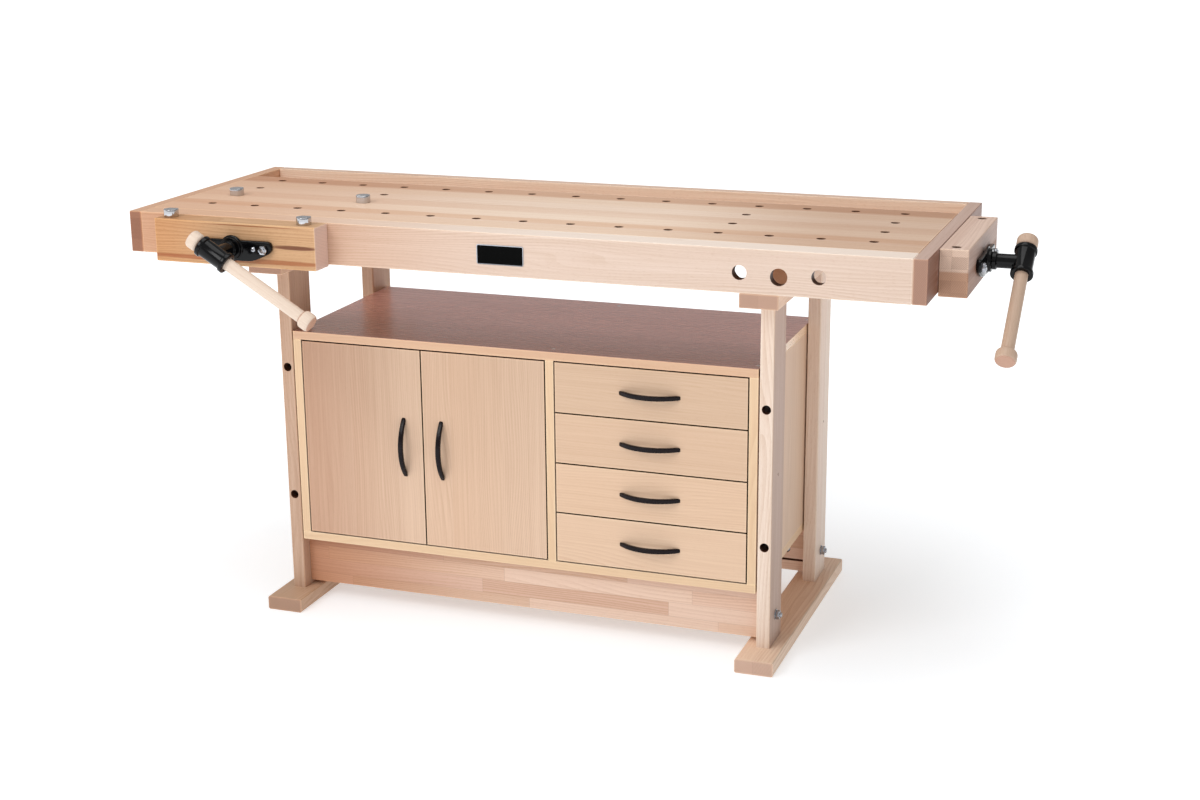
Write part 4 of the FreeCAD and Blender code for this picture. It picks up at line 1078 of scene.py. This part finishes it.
    def hub(self) -> None:
        """The cast T: a tube with two rims, on a neck that takes the screw's end."""
        stock = Stock(self.place)
        half, band = self.tube_half, self.tube_half - self.rim_wide
        ring = [(-half, self.rim), (-band, self.rim), (-band, self.tube), (band, self.tube)]
        ring += [(band, self.rim), (half, self.rim), (half, self.bore), (-half, self.bore)]
        along = self.handle_frame()
        stock.lathe(ring, along, Facets.WIDE, closed=True)
        stock.ease(self.hub_ease, 3)
        ease, fillet = self.neck_ease, self.neck_fillet
        shoulder = self.seat + self.neck_collar_wide
        end = -self.face + self.reach - self.tube + fillet
        neck = [(self.seat, self.spigot), (self.seat, self.neck_collar - ease)]
        neck += [(self.seat + ease, self.neck_collar), (shoulder - ease, self.neck_collar)]
        neck += [(shoulder, self.neck_collar - ease)]
        neck += arc((shoulder + fillet, self.neck + fillet), fillet, 180, 270, 4) + [(end, self.neck)]
        before = set(stock.bm.verts)
        stock.lathe(neck, facing((0, -1, 0)), Facets.WIDE)
        side = along.to_3x3() @ Vector((0, 0, 1))
        for point in set(stock.bm.verts) - before:
            if point.co.y < -end + MERGE:
                aside = Vector((point.co.x, 0, point.co.z)).dot(side)
                depth = math.sqrt(max(self.tube**2 - aside**2, 0.0))
                point.co.y = self.face - self.reach + depth - self.weld
        stock.stand_in(f"{self.side}_vise_hub", "cast", f"{self.side}_screw", Finish.CASTING)

    def handle(self) -> None:
        """The turned bar with its two knobs."""
        stock = Stock(self.place)
        along = self.handle_frame()
        upper = -(self.tube_half + self.play)
        lower = upper + self.span
        stock.lathe([(upper, 0), (upper, self.bar), (lower, self.bar), (lower, 0)], along)
        radius, long, shoulder, nose = self.knob / 2, self.knob_long, self.knob_shoulder, self.knob_nose
        start = math.degrees(math.asin((self.bar + self.knob_root - radius + shoulder) / shoulder))
        shape = [(0, self.bar - self.knob_root)]
        shape += arc((shoulder, radius - shoulder), shoulder, 180 - start, 90)
        shape += arc((long - nose, radius - nose), nose, 90, 12)
        shape += [(long, radius - nose - 1 * MM), (long, 0)]
        for seat, way in ((upper, -1), (lower, 1)):
            stock.lathe([(seat + way * x, wide) for x, wide in shape], along, Facets.WIDE)
        node = f"{self.side}_vise_handle"
        material = self.wood.material(node, *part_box(node), turn=(self.place @ along).inverted())
        stock.piece(f"{node}_turned", f"{self.side}_handle", "turned_beech", material, stands_for=node)

    def rods(self) -> None:
        """The guide rods with the nuts on their ends, and the plate's own screws."""
        stock = Stock(self.place)
        long = -self.face + self.wall + self.plate_thick + self.travel + self.rod_spare
        tip = self.plate_thick + self.rod_nut_high + self.rod_proud
        front = self.face - self.plate_thick
        for way in (-1, 1):
            x, z = way * self.rod_spread, self.rod_rise
            stock.rod(self.rod, long, facing((0, 1, 0), (x, self.face, z)), self.rod_chamfer)
            stock.rod(self.rod_tip, tip, facing((0, -1, 0), (x, self.face, z)), self.rod_tip_chamfer)
            self.domed_screw(stock, way * self.screw_spread, front, -1)
            hexagon(stock, self.rod_nut, self.rod_nut_high, facing((0, -1, 0), (x, front, z)))
        stock.ease(self.steel_ease, 2)
        stock.stand_in(f"{self.side}_guide_rods", "bright", f"{self.side}_jaw", Finish.ZINC, "bright_steel")


def nut_brackets(vises: list[Vise]) -> None:
    """The castings behind the boards, which hold the screws' nuts, as one piece.

    Args:
        vises: The vises that they belong to.
    """
    whole = Stock()
    for vise in vises:
        part = Stock()
        vise.casting(part, vise.wall, vise.nut_boss, vise.nut_boss_high, 1)
        for way in (-1, 1):
            vise.domed_screw(part, way * vise.screw_spread, vise.wall + vise.plate_thick, 1)
        part.tidy()
        bmesh.ops.transform(part.bm, matrix=vise.place, verts=part.bm.verts[:])
        scrap = bpy.data.meshes.new("bracket")
        part.bm.to_mesh(scrap)
        part.bm.free()
        whole.bm.from_mesh(scrap)
        bpy.data.meshes.remove(scrap)
    whole.stand_in("vise_nuts", "cast", "bench", Finish.CASTING)


# ---------------------------------------------------------------- small steel


@dataclass
class Dog:
    """A steel bench dog: a round shank, and a head with one flat that faces the other dogs' row.

    Attributes:
        node: The dog's name.
        shank: The shank's radius.
        head: The head's radius.
        flat: How much the flat takes off the head.
        high: The head's height.
        head_ease: The round on the head's edges.
        shank_chamfer: The chamfer at the shank's foot.
    """

    node: str
    shank: float = 9.42 * MM
    head: float = 15.5 * MM
    flat: float = 3 * MM
    high: float = 16 * MM
    head_ease: float = 0.9 * MM
    shank_chamfer: float = 1.2 * MM

    def build(self) -> None:
        """Makes the dog."""
        low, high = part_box(self.node)
        towards = -1 if "table" in self.node else 1
        middle_y = high.y - self.head if towards < 0 else low.y + self.head
        under = high.z - self.high
        stock = Stock(Matrix.Translation(((low.x + high.x) / 2, middle_y, 0)))
        up = facing((0, 0, 1), (0, 0, under))
        outline = [(0, 0), (0, self.head), (self.high, self.head), (self.high, 0)]
        stock.lathe(outline, up, Facets.WIDEST)
        cut = (0, towards * (self.head - self.flat), 0)
        parts = stock.bm.verts[:] + stock.bm.edges[:] + stock.bm.faces[:]
        bmesh.ops.bisect_plane(stock.bm, geom=parts, plane_co=cut, plane_no=(0, towards, 0), clear_outer=True)
        open_edges = [edge for edge in stock.bm.edges if edge.is_boundary]
        bmesh.ops.holes_fill(stock.bm, edges=open_edges, sides=0)
        stock.ease(self.head_ease, 3)
        stock.rod(self.shank, under - low.z, facing((0, 0, 1), (0, 0, low.z)), self.shank_chamfer)
        stock.stand_in(self.node, "steel", self.node, Finish.BRIGHT)


@dataclass
class StretcherBolts:
    """The four threaded bolts that pull the stretchers against the legs.

    Attributes:
        radius: A bolt's radius.
        tail: How far it stands out of the leg.
        bury: How far it reaches into the stretcher.
        washer: The washer's radius.
        washer_thick: The washer's thickness.
        flats: The nut's width across flats.
        nut: The nut's height.
        barrel: The barrel nut's radius.
        barrel_long: The barrel nut's length.
        barrel_inset: How far the barrel nut lies from the stretcher's end.
        thread: The thread's pitch.
        crest: How far the thread stands out.
        chamfer: The chamfer on the bolts' and the barrel nuts' ends.
        ease: The round on the other edges.
    """

    radius: float = 5 * MM
    tail: float = 14 * MM
    bury: float = 57.5 * MM
    washer: float = 11 * MM
    washer_thick: float = 2 * MM
    flats: float = 17 * MM
    nut: float = 8 * MM
    barrel: float = 8 * MM
    barrel_long: float = 24 * MM
    barrel_inset: float = 45 * MM
    thread: float = 1.5 * MM
    crest: float = 0.35 * MM
    chamfer: float = 0.8 * MM
    ease: float = 0.4 * MM

    def build(self) -> None:
        """Makes the bolts with their washers and nuts."""
        stock = Stock()
        low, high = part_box("stretcher_bolts")
        middle_z = (low.z + high.z) / 2
        for end in ("front", "back"):
            rail_low, rail_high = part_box(f"{end}_stretcher")
            y = (rail_low.y + rail_high.y) / 2
            for side, way in (("left", -1), ("right", 1)):
                leg_low, leg_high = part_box(f"{side}_{end}_leg")
                inner, outer = (leg_high.x, leg_low.x) if way < 0 else (leg_low.x, leg_high.x)
                self.bolt(stock, inner, outer, y, middle_z, way)
        stock.ease(self.ease, 2)
        stock.stand_in("stretcher_bolts", "zinc", "bench", Finish.ZINC)

    def bolt(self, stock: Stock, inner: float, outer: float, y: float, z: float, way: int) -> None:
        """One bolt through the leg at y, z, that points along X by its way."""
        out = (way, 0, 0)
        radius, thick = self.radius, self.washer_thick
        length = self.bury + abs(outer - inner) + self.tail
        stock.rod(radius, length, facing(out, (inner - way * self.bury, y, z)), self.chamfer, Facets.SMALL)
        ring = [(0, radius), (0, self.washer), (thick, self.washer), (thick, radius)]
        stock.lathe(ring, facing(out, (outer, y, z)), Facets.FAIR, closed=True)
        hexagon(stock, self.flats, self.nut, facing(out, (outer + way * thick, y, z)))
        barrel = (inner - way * self.barrel_inset, y - self.barrel_long / 2, z)
        stock.rod(self.barrel, self.barrel_long, facing((0, 1, 0), barrel), self.chamfer)
        nut_end = facing(out, (outer + way * (thick + self.nut), y, z))
        ridge = [(0.1, radius), (0.5, radius + self.crest), (0.9, radius)]
        for turn in range(int((self.tail - thick - self.nut) / self.thread)):
            turned = [((turn + share) * self.thread, wide) for share, wide in ridge]
            stock.lathe(turned, nut_end, Facets.SMALL)


@dataclass
class BowHandle:
    """A bow of black metal, bent as a crescent between two arcs.

    Attributes:
        piece: The name of the bow and of the solid that it stands for.
        body: The body that it rides on.
        upright: Whether it stands upright, as on a door.
        half: Half the bow's length.
        foot: The length of a foot.
        rise: How far the bow stands out.
        gauge: Its thickness in the middle.
        width: Its width in the middle.
        taper: The share of that width that it loses at its ends.
        ease: The round on its long edges.
        steps: The number of facets along it.
    """

    piece: str
    body: str
    upright: bool
    half: float = 66 * MM
    foot: float = 11 * MM
    rise: float = 25 * MM
    gauge: float = 8 * MM
    width: float = 10 * MM
    taper: float = 0.12
    ease: float = 3.6 * MM
    steps: int = 40

    def bow(self, share: float, half: float, rise: float) -> Vector:
        """A point of an arc over a chord, by its share of the way from one foot to the other."""
        radius = (half**2 + rise**2) / (2 * rise)
        sweep = math.asin(half / radius)
        angle = -sweep + 2 * sweep * share
        return Vector((radius * math.sin(angle), radius - rise - radius * math.cos(angle), 0))

    def build(self) -> None:
        """Makes the bow from a strip that is bent between its two arcs."""
        low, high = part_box(self.piece)
        middle = (low + high) / 2
        place = Matrix.Translation((middle.x, high.y, middle.z))
        if self.upright:
            place = place @ Matrix.Rotation(QUARTER_TURN, 4, "Y")
        stock = Stock(place)
        strip = bmesh.ops.create_grid(stock.bm, x_segments=self.steps, y_segments=2, size=0.5)["verts"]
        for point in strip:
            along, inwards = point.co.x + 0.5, point.co.y + 0.5
            outer = self.bow(along, self.half, self.rise)
            inner = self.bow(along, self.half - self.foot, self.rise - self.gauge)
            point.co = outer.lerp(inner, inwards) - Vector((0, 0, self.width / 2))
        stock.raise_faces(stock.bm.faces[:], Vector((0, 0, self.width)))
        for point in stock.bm.verts:
            point.co.z *= 1 - self.taper * (point.co.x / self.half) ** 2
        stock.ease(self.ease, 5, math.radians(50))
        stock.stand_in(self.piece, "bow", self.body, Finish.BOW)


@dataclass
class DoorHinges:
    """The cups and flanges of a door's two concealed hinges.

    Attributes:
        side: "left" or "right".
        cup: The cup's radius.
        deep: The cup's depth.
        rim: The thickness of its wall.
        flange: The flange's thickness.
        flange_half: Half the flange's width and height.
        screw: The radius of a flange screw.
        screw_spread: How far the flange screws lie from its middle.
        corner: The radius of the flange's corners.
        rise: The height of the hinges from the door's ends.
    """

    side: str
    cup: float = 17.5 * MM
    deep: float = 11.5 * MM
    rim: float = 1.2 * MM
    flange: float = 2 * MM
    flange_half: tuple[float, float] = (7 * MM, 31 * MM)
    screw: float = 3.6 * MM
    screw_spread: float = 24 * MM
    corner: float = 4 * MM
    rise: float = 80 * MM

    def build(self) -> None:
        """Makes both hinge cups of the door."""
        node = f"{self.side}_door_hinges"
        low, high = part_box(node)
        door_low, door_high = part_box(f"{self.side}_door")
        x, back = (low.x + high.x) / 2, door_high.y
        sheet, head = self.flange * 0.6, self.flange * 0.4
        floor, inside = -self.deep + self.rim, self.cup - self.rim
        stock = Stock()
        for z in (door_low.z + self.rise, door_high.z - self.rise):
            bowl = [(0, self.cup), (-self.deep, self.cup), (-self.deep, 0)]
            bowl += [(floor, 0), (floor, inside), (0, inside), (0, self.cup)]
            stock.lathe(bowl, facing((0, 1, 0), (x, back, z)))
            stock.slab(rectangle(*self.flange_half), tipped((x, back, z), -QUARTER_TURN), sheet, self.corner)
            for offset in (-self.screw_spread, self.screw_spread):
                dome = [(0, self.screw), (head, self.screw * 0.8), (head, 0)]
                stock.lathe(dome, facing((0, 1, 0), (x, back + sheet, z + offset)), Facets.TINY)
        stock.stand_in(node, "steel", f"{self.side}_door", Finish.ZINC)


@dataclass
class NamePlate:
    """A bare black plate with a bright rim, on the front of the worktop.

    Attributes:
        middle: Its place along the bench, from the middle of the frame.
        drop: How far its middle lies below the top.
        half: Half its width and height.
        thick: Its thickness.
        corner: The radius of its corners.
        rim: The width of its bright rim.
        sunk: How deep the field lies inside the rim.
    """

    middle: float
    drop: float = 44 * MM
    half: tuple[float, float] = (50.2 * MM, 20 * MM)
    thick: float = 1.4 * MM
    corner: float = 4 * MM
    rim: float = 1.6 * MM
    sunk: float = 0.4 * MM

    def build(self) -> None:
        """Makes the plate, with its field sunk inside the rim."""
        low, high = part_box("front_apron")
        at = tipped((self.middle, low.y, high.z - self.drop))
        stock = Stock()
        stock.slab(rectangle(*self.half), at, self.thick, self.corner)
        face = min(stock.bm.faces, key=lambda each: each.calc_center_median().y)
        bmesh.ops.inset_region(stock.bm, faces=[face], thickness=self.rim)
        bmesh.ops.translate(stock.bm, verts=face.verts[:], vec=(0, self.sunk, 0))
        face.material_index = 1
        stock.piece("name_plate", "bench", "black_handle", Finish.ZINC.material(), Finish.FIELD.material())


# ---------------------------------------------------------------- the boards


@dataclass
class Boards:
    """The finishes of all the boards, from the bright worktop to the shaded cabinet.

    Attributes:
        pale: Light growth on the worktop and the frame.
        tan: Dark growth there.
        end: End grain.
        laminate: Light growth on the cabinet's sheets.
        laminate_dark: Dark growth there.
        banding: The strips glued on the sheets' edges.
        gap_shade: Painted shade on the edges of the doors and drawers, which darkens the gaps round them.
        warm: The warmer tone towards the bench's left end.
        whole: A stave wider than any board, for boards in one piece.
    """

    pale: Tone = tone(240, 216, 194)
    tan: Tone = tone(204, 166, 134)
    end: Tone = tone(208, 166, 144)
    laminate: Tone = tone(232, 203, 178)
    laminate_dark: Tone = tone(200, 165, 137)
    banding: Tone = tone(232, 200, 164)
    gap_shade: Tone = tone(40, 22, 15)
    warm: Tone = tone(230, 194, 164)
    whole: float = 3.0

    def wood(self, **changes: object) -> Beech:
        """The usual beech, with some of its values changed."""
        return Beech(**{"light": self.pale, "dark": self.tan, "end": self.end, **changes})

    def sheet(self, **changes: object) -> Beech:
        """The cabinet's quieter sheets, with some of their values changed."""
        quiet = {"variety": 0.2, "seam": 0.08, "fleck": 0.1}
        return self.wood(**{"light": self.laminate, "dark": self.laminate_dark, **quiet, **changes})

    def worktop(self) -> None:
        """Dresses the slab and the apron in front of it."""
        left, right = (corner.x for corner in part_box("front_apron"))
        middle, front = (left + right) / 2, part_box("top_slab")[0].y
        top = self.wood(
            light=tone(251, 232, 214), dark=tone(215, 178, 147), across=Axis.Y, stave=0.0605, variety=0.45,
            figure=0.4, seed=3.0,
        )
        planks = (
            Streak((middle, front + 0.093), (4.0, 0.03), tone(240, 220, 196), 0.5),
            Streak((middle, front + 0.4), (4.0, 0.045), tone(228, 206, 190), 0.8),
        )
        top.dress(
            "top_slab",
            Tint(Axis.X, left + 0.9, left, self.warm, 0.6),
            Tint(Axis.X, middle + 0.2, middle + 0.65, tone(228, 217, 209)),
            Tint(Axis.Y, front + 0.12, front + 0.4, tone(246, 243, 241)),
            streaks=planks,
            across=Axis.Y,
        )
        apron = self.wood(
            light=tone(231, 211, 198), dark=tone(200, 170, 146), edge=tone(247, 232, 219), stave=self.whole,
            variety=0.15, seed=8.0,
        )
        apron.dress("front_apron", Tint(Axis.X, left + 0.95, left + 0.1, self.warm, 0.9))

    def surround(self) -> None:
        """Dresses the end boards, the tray's floor and the back board."""
        board = self.wood(
            light=tone(238, 216, 200), dark=tone(204, 172, 148), end=tone(176, 136, 116), along=Axis.Y,
            stave=self.whole, variety=0.2, seed=5.0,
        )
        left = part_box("front_apron")[0].x
        layered = replace(board, stave=0.045, variety=0.6)
        layered.dress("left_end_board", Tint(Axis.X, left + 1.0, left, tone(232, 202, 176), 0.8))
        low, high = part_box("right_end_board")
        # painted shade on the board's right face and top, and a painted shadow along the front of the right
        # face, where the jaw shades it
        board.dress(
            "right_end_board",
            Tint.face_shade(Axis.X, high, tone(177, 163, 167)),
            Tint.face_shade(Axis.Z, high, tone(221, 213, 215)),
            streaks=(Streak((low.y + 0.02, high.x), (0.12, 1.5 * MM), tone(207, 170, 144), 1.0),),
            along=Axis.Y,
            across=Axis.X,
        )
        back = self.wood(
            light=tone(246, 224, 204), dark=tone(212, 176, 146), stave=self.whole, variety=0.15, seed=11.0
        )
        _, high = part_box("tray_back_board")
        # painted shade on the back board's top
        back.dress("tray_back_board", Tint.face_shade(Axis.Z, high, tone(236, 229, 228)))
        self.wood(across=Axis.Y, stave=0.15, variety=0.3, bore=None, seed=17.0).dress("tray_floor")

    def trestle(self, side: str, light: Tone, dark: Tone, seed: float) -> None:
        """Dresses one trestle.

        Args:
            side: "left" or "right".
            light: The light growth of its legs.
            dark: The dark growth of its legs.
            seed: The number that picks its boards' patterns.
        """
        foot = self.wood(
            light=tone(250, 226, 204), dark=tone(214, 176, 146), end=tone(222, 186, 164), along=Axis.Y,
            across=Axis.X, stave=0.09, variety=0.2, seed=seed,
        )
        foot.dress(f"{side}_foot", *((Tint.all_over(tone(213, 203, 193)),) if side == "left" else ()))
        replace(foot, light=tone(232, 204, 182), end=tone(200, 162, 140)).dress(f"{side}_top_beam")
        leg = self.wood(
            light=light, dark=dark, along=Axis.Z, across=Axis.Y, stave=0.046, variety=0.35, figure=0.4,
            fibre=0.5, seed=seed + 4,
        )
        _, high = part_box(f"{side}_front_leg")
        # painted shade on the right front leg's right face
        painted_side_shade = Tint.face_shade(Axis.X, high, tone(209, 197, 193), skin=0.0)
        leg.dress(f"{side}_front_leg", *((painted_side_shade,) if side == "right" else ()))
        replace(leg, seed=seed + 8).dress(f"{side}_back_leg")

    def trestles(self) -> None:
        """Dresses both trestles and the stretchers between them."""
        self.trestle("left", tone(207, 176, 152), tone(172, 132, 106), 20.0)
        self.trestle("right", tone(247, 231, 218), tone(216, 188, 166), 21.0)
        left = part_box("front_stretcher")[0].x
        rail = self.wood(
            light=tone(234, 206, 188), dark=tone(203, 165, 140), stave=0.031, length=0.42, variety=0.65,
            figure=0.5, seam=0.4, seed=813.0,
        )
        for end, wood in (("front", rail), ("back", replace(rail, seed=rail.seed + 1))):
            wood.dress(f"{end}_stretcher", Tint(Axis.X, left + 0.5, left, tone(216, 180, 152), 0.9))

    def carcass(self) -> None:
        """Dresses the cabinet's panels, and its red top, with painted shade towards its front but not on its
        front edge.
        """
        flat, side = (Axis.X, Axis.Y), (Axis.Z, Axis.Y)
        for name, (along, across) in {
            "bottom": flat, "shelf": flat, "left_side": side, "right_side": side, "divider": side,
            "back": (Axis.Z, Axis.X),
        }.items():
            self.sheet(along=along, across=across, stave=0.11, edge=self.banding).dress(f"cabinet_{name}")
        top = self.wood(
            light=tone(245, 200, 199), dark=tone(203, 157, 155), across=Axis.Y, stave=0.13, variety=0.15,
            figure=0.3, fibre=0.5, seam=0.05, sheen=0.25, gleam=1.0, varnish=0.4, edge=tone(252, 220, 184),
            seed=38.0,
        )
        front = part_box("cabinet_top")[0].y
        top.dress(
            "cabinet_top",
            # painted shade, darker towards the top's front; the second tint lifts the front edge back out of
            # that painted shade
            Tint(Axis.Y, front + 0.3, front + 0.02, tone(165, 150, 140)),
            Tint(Axis.Y, front + 1.5 * MM, front + 0.5 * MM, (1.92, 2.05, 2.2)),
        )

    def fronts(self) -> None:
        """Dresses the doors, the drawers' fronts and the drawers' boxes."""
        # painted shade: the edges of doors and drawers are dark and without reflections, so that the gaps
        # round them read dark
        cut = {"edge": self.gap_shade, "edge_gleam": 0.0}
        for side, seed, shade in (("left", 41.0, tone(228, 210, 202)), ("right", 44.0, tone(255, 250, 246))):
            low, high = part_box(f"{side}_door")
            door = self.sheet(
                along=Axis.Z, across=Axis.X, stave=0.115, figure=0.34, fibre=0.4, rings=190.0, seed=seed,
                **cut,
            )
            # painted shade: each door darker towards its left side, and darker towards its top, under the
            # worktop
            painted_top_shade = Tint(Axis.Z, low.z, high.z, tone(240, 238, 236))
            door.dress(f"{side}_door", Tint(Axis.X, high.x, low.x, shade, 0.9), painted_top_shade)
        for number in range(1, 5):
            face = self.wood(
                light=tone(236, 206, 178), dark=tone(206, 168, 136), stave=self.whole, variety=0.15,
                seam=0.05, figure=0.3, fibre=0.3, fleck=0.1, seed=50.0 + number, **cut,
            )
            # painted shade under the worktop: the upper drawers' fronts are darkened, the top one most
            shaded = max(0.0, 1.4 - 0.5 * number)
            face.dress(f"drawer_{number}_front", Tint.all_over(tone(236, 234, 232), shaded))
            self.sheet(stave=0.11, bore=None).dress(f"drawer_{number}_box")

    def jaws(self) -> None:
        """Dresses the two vise jaws: the front one streaked, and the tail one glued up from layers."""
        low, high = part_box("front_jaw")
        middle = (low.x + high.x) / 2
        streaks = (
            Streak((high.x - 0.05, low.z + 0.045), (0.07, 5.5 * MM), tone(128, 74, 44), 0.85),
            Streak((middle, low.z + 0.013), (0.4, 6.5 * MM), tone(200, 142, 100), 0.75),
            Streak((middle + 0.05, low.z + 0.085), (0.16, 1.6 * MM), tone(190, 130, 72), 0.7),
        )
        front = self.wood(
            light=tone(216, 175, 134), dark=tone(172, 122, 78), end=tone(238, 204, 188), stave=self.whole,
            variety=0.1, figure=0.42, seed=61.0,
        )
        front.dress("front_jaw", Tint(Axis.X, middle, low.x, tone(240, 206, 164), 0.6), streaks=streaks)
        tail = self.wood(
            light=tone(232, 208, 192), dark=tone(196, 164, 144), end=tone(246, 216, 194), along=Axis.Y,
            stave=0.0231, block=0.03, variety=0.65, seam=0.3, seed=67.0,
        )
        low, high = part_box("tail_jaw")
        rise = high.z - low.z
        lower = Tint(Axis.Z, low.z + 0.56 * rise, low.z + 0.5 * rise, tone(222, 200, 184))
        # painted shade on the tail jaw's right face
        tail.dress("tail_jaw", lower, Tint.face_shade(Axis.X, high, tone(215, 209, 211)))

    def fittings(self) -> None:
        """Gives the runners, hinge arms and pins their steel, and lacquers the screws in the legs."""
        low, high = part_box("cabinet_top")
        steel = Steel((0.74, 0.76, 0.8), (0.62, 0.62, 0.6), 0.26, EVEN_MARKS)
        material = steel.material("fittings", (low.x + high.x) / 2, (high.x - low.x) / 2)
        put_on("cabinet_fittings", material)

    def build(self) -> None:
        """Dresses every board."""
        for part in (
            self.worktop, self.surround, self.trestles, self.carcass, self.fronts, self.jaws, self.fittings
        ):
            part()
            log.info("dressed the %s", part.__name__)


# ---------------------------------------------------------------- studio


@dataclass(frozen=True)
class Lamp:
    """A square soft light.

    Attributes:
        name: Its name.
        at: Its place.
        aim: The place that it points at.
        size: Its width.
        power: Its power in watts.
    """

    name: str
    at: tuple[float, float, float]
    aim: tuple[float, float, float]
    size: float
    power: float

    def build(self) -> None:
        """Hangs the lamp."""
        data = bpy.data.lights.new(self.name, "AREA")
        data.energy = self.power
        data.size = self.size
        lamp = bpy.data.objects.new(self.name, data)
        lamp.location = self.at
        lamp.rotation_euler = (Vector(self.aim) - Vector(self.at)).to_track_quat("-Z", "Y").to_euler()
        bpy.context.scene.collection.objects.link(lamp)


@dataclass
class Studio:
    """A plain white floor, soft lights and the camera.

    Attributes:
        eye: The camera's place from the middle of the worktop, and its height above the floor.
        angles: Its turns about X, Y and Z, in degrees.
        lens: Its focal length in millimetres.
        sensor: The width of its sensor in millimetres.
        surround: The least and the most light from all round.
        bright_way: The direction that most of that light comes from.
        lamps: The lamps.
        floor_half: Half the floor's width.
        floor_tones: The two tones of the floor.
        floor_dull: Its roughness.
        floor_glow: The floor's own light under the bench and far from it, which keeps it white.
        floor_spread: The distances between which the glow rises.
    """

    eye: tuple[float, float, float] = (1.4436, -3.7106, 1.5793)
    angles: tuple[float, float, float] = (74.0569, 0.4885, 19.8295)
    lens: float = 56.84
    sensor: float = 36.0
    surround: tuple[float, float] = (0.3, 0.6)
    bright_way: tuple[float, float, float] = (-0.64, -0.64, 0.42)
    lamps: tuple[Lamp, ...] = (
        Lamp("key", (-1.7, -3.5, 3.4), (0, 0, 0.5), 2.2, 75),
        Lamp("overhead", (0.2, -0.3, 3.7), (0, 0, 0.8), 2.2, 36),
    )
    floor_half: float = 45.0
    floor_tones: tuple[Tone, Tone] = ((0.725, 0.765, 0.8), (0.755, 0.795, 0.83))
    floor_dull: float = 0.7
    floor_glow: tuple[float, float] = (0.42, 0.8)
    floor_spread: tuple[float, float] = (0.5, 2.2)

    def camera(self) -> None:
        """Sets up the camera."""
        middle = (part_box("left_end_board")[0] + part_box("right_end_board")[1]) / 2
        data = bpy.data.cameras.new("camera")
        data.lens = self.lens
        data.sensor_width = self.sensor
        camera = bpy.data.objects.new("camera", data)
        camera.location = (middle.x + self.eye[0], middle.y + self.eye[1], self.eye[2])
        camera.rotation_euler = Euler([math.radians(angle) for angle in self.angles])
        bpy.context.scene.collection.objects.link(camera)
        bpy.context.scene.camera = camera

    def room(self) -> None:
        """Lights the room softly, brighter from the front and left, and keeps whites white."""
        work = Shader(bpy.data.worlds.new("white_room"), "Background")
        way = work.add("ShaderNodeTexCoord").outputs["Generated"]
        lean = work.vector("DOT_PRODUCT", way, self.bright_way).outputs["Value"]
        least, most = self.surround
        level = work.add("ShaderNodeMapRange", Value=lean, From_Min=-1, To_Min=least, To_Max=most)
        seen = work.add("ShaderNodeLightPath").outputs["Is Camera Ray"]
        strength = work.most(Reading(work, level.outputs[0]), Reading(work, seen))
        work.set(work.surface, Color=(1, 1, 1), Strength=strength)
        bpy.context.scene.world = work.owner
        bpy.context.scene.view_settings.view_transform = "Standard"

    def floor(self) -> None:
        """A wide white floor that takes a faint shadow."""
        stock = bmesh.new()
        bmesh.ops.create_grid(stock, x_segments=1, y_segments=1, size=self.floor_half)
        mesh = bpy.data.meshes.new("floor")
        stock.to_mesh(mesh)
        stock.free()
        work = new_material("white_floor")
        point, _ = work.place()
        tint = work.blend(work.noise(point, 3.0), *self.floor_tones)
        away = Reading(work, work.vector("LENGTH", point).outputs["Value"])
        near, far = self.floor_glow
        glow = work.span(away, *self.floor_spread) * (far - near) + near
        work.set(work.surface, Base_Color=tint, Roughness=self.floor_dull)
        work.set(work.surface, Emission_Color=(1, 1, 1), Emission_Strength=glow)
        mesh.materials.append(work.owner)
        floor = bpy.data.objects.new("floor", mesh)
        bpy.context.scene.collection.objects.link(floor)

    def build(self) -> None:
        """Sets up the whole studio."""
        self.camera()
        self.room()
        self.floor()
        for lamp in self.lamps:
            lamp.build()
        log.info("set up the studio")


def main() -> None:
    """Builds the bench in order."""
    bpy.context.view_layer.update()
    Studio().build()
    boards = Boards()
    boards.build()
    plain = {"stave": 0.4, "variety": 0.05, "figure": 0.3}
    turned = boards.wood(light=tone(230, 213, 196), dark=tone(211, 184, 163), **plain)
    rosy = boards.wood(light=tone(206, 180, 158), dark=tone(180, 147, 124), **plain)
    front = Vise("front", 0.0, -31.2, 0.5 * MM, 55 * MM, 56 * MM, 38 * MM, turned)
    tail = Vise("tail", QUARTER_TURN, 217.5, 0.5 * MM, 55.5 * MM, 28 * MM, 42 * MM, rosy)
    front.build()
    tail.build()
    nut_brackets([front, tail])
    for place in ("left_jaw", "right_jaw", "left_table", "right_table"):
        Dog(f"{place}_dog").build()
    StretcherBolts().build()
    for side in ("left", "right"):
        BowHandle(f"{side}_door_handle", f"{side}_door", True).build()
        DoorHinges(side).build()
    for number in range(1, 5):
        BowHandle(f"drawer_{number}_handle", f"drawer_{number}", False).build()
    NamePlate(sum(corner.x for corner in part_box("front_apron")) / 2 + 0.75 * MM).build()
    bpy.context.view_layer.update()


if __name__ == "__main__":
    logging.basicConfig(level=logging.INFO)
    main()
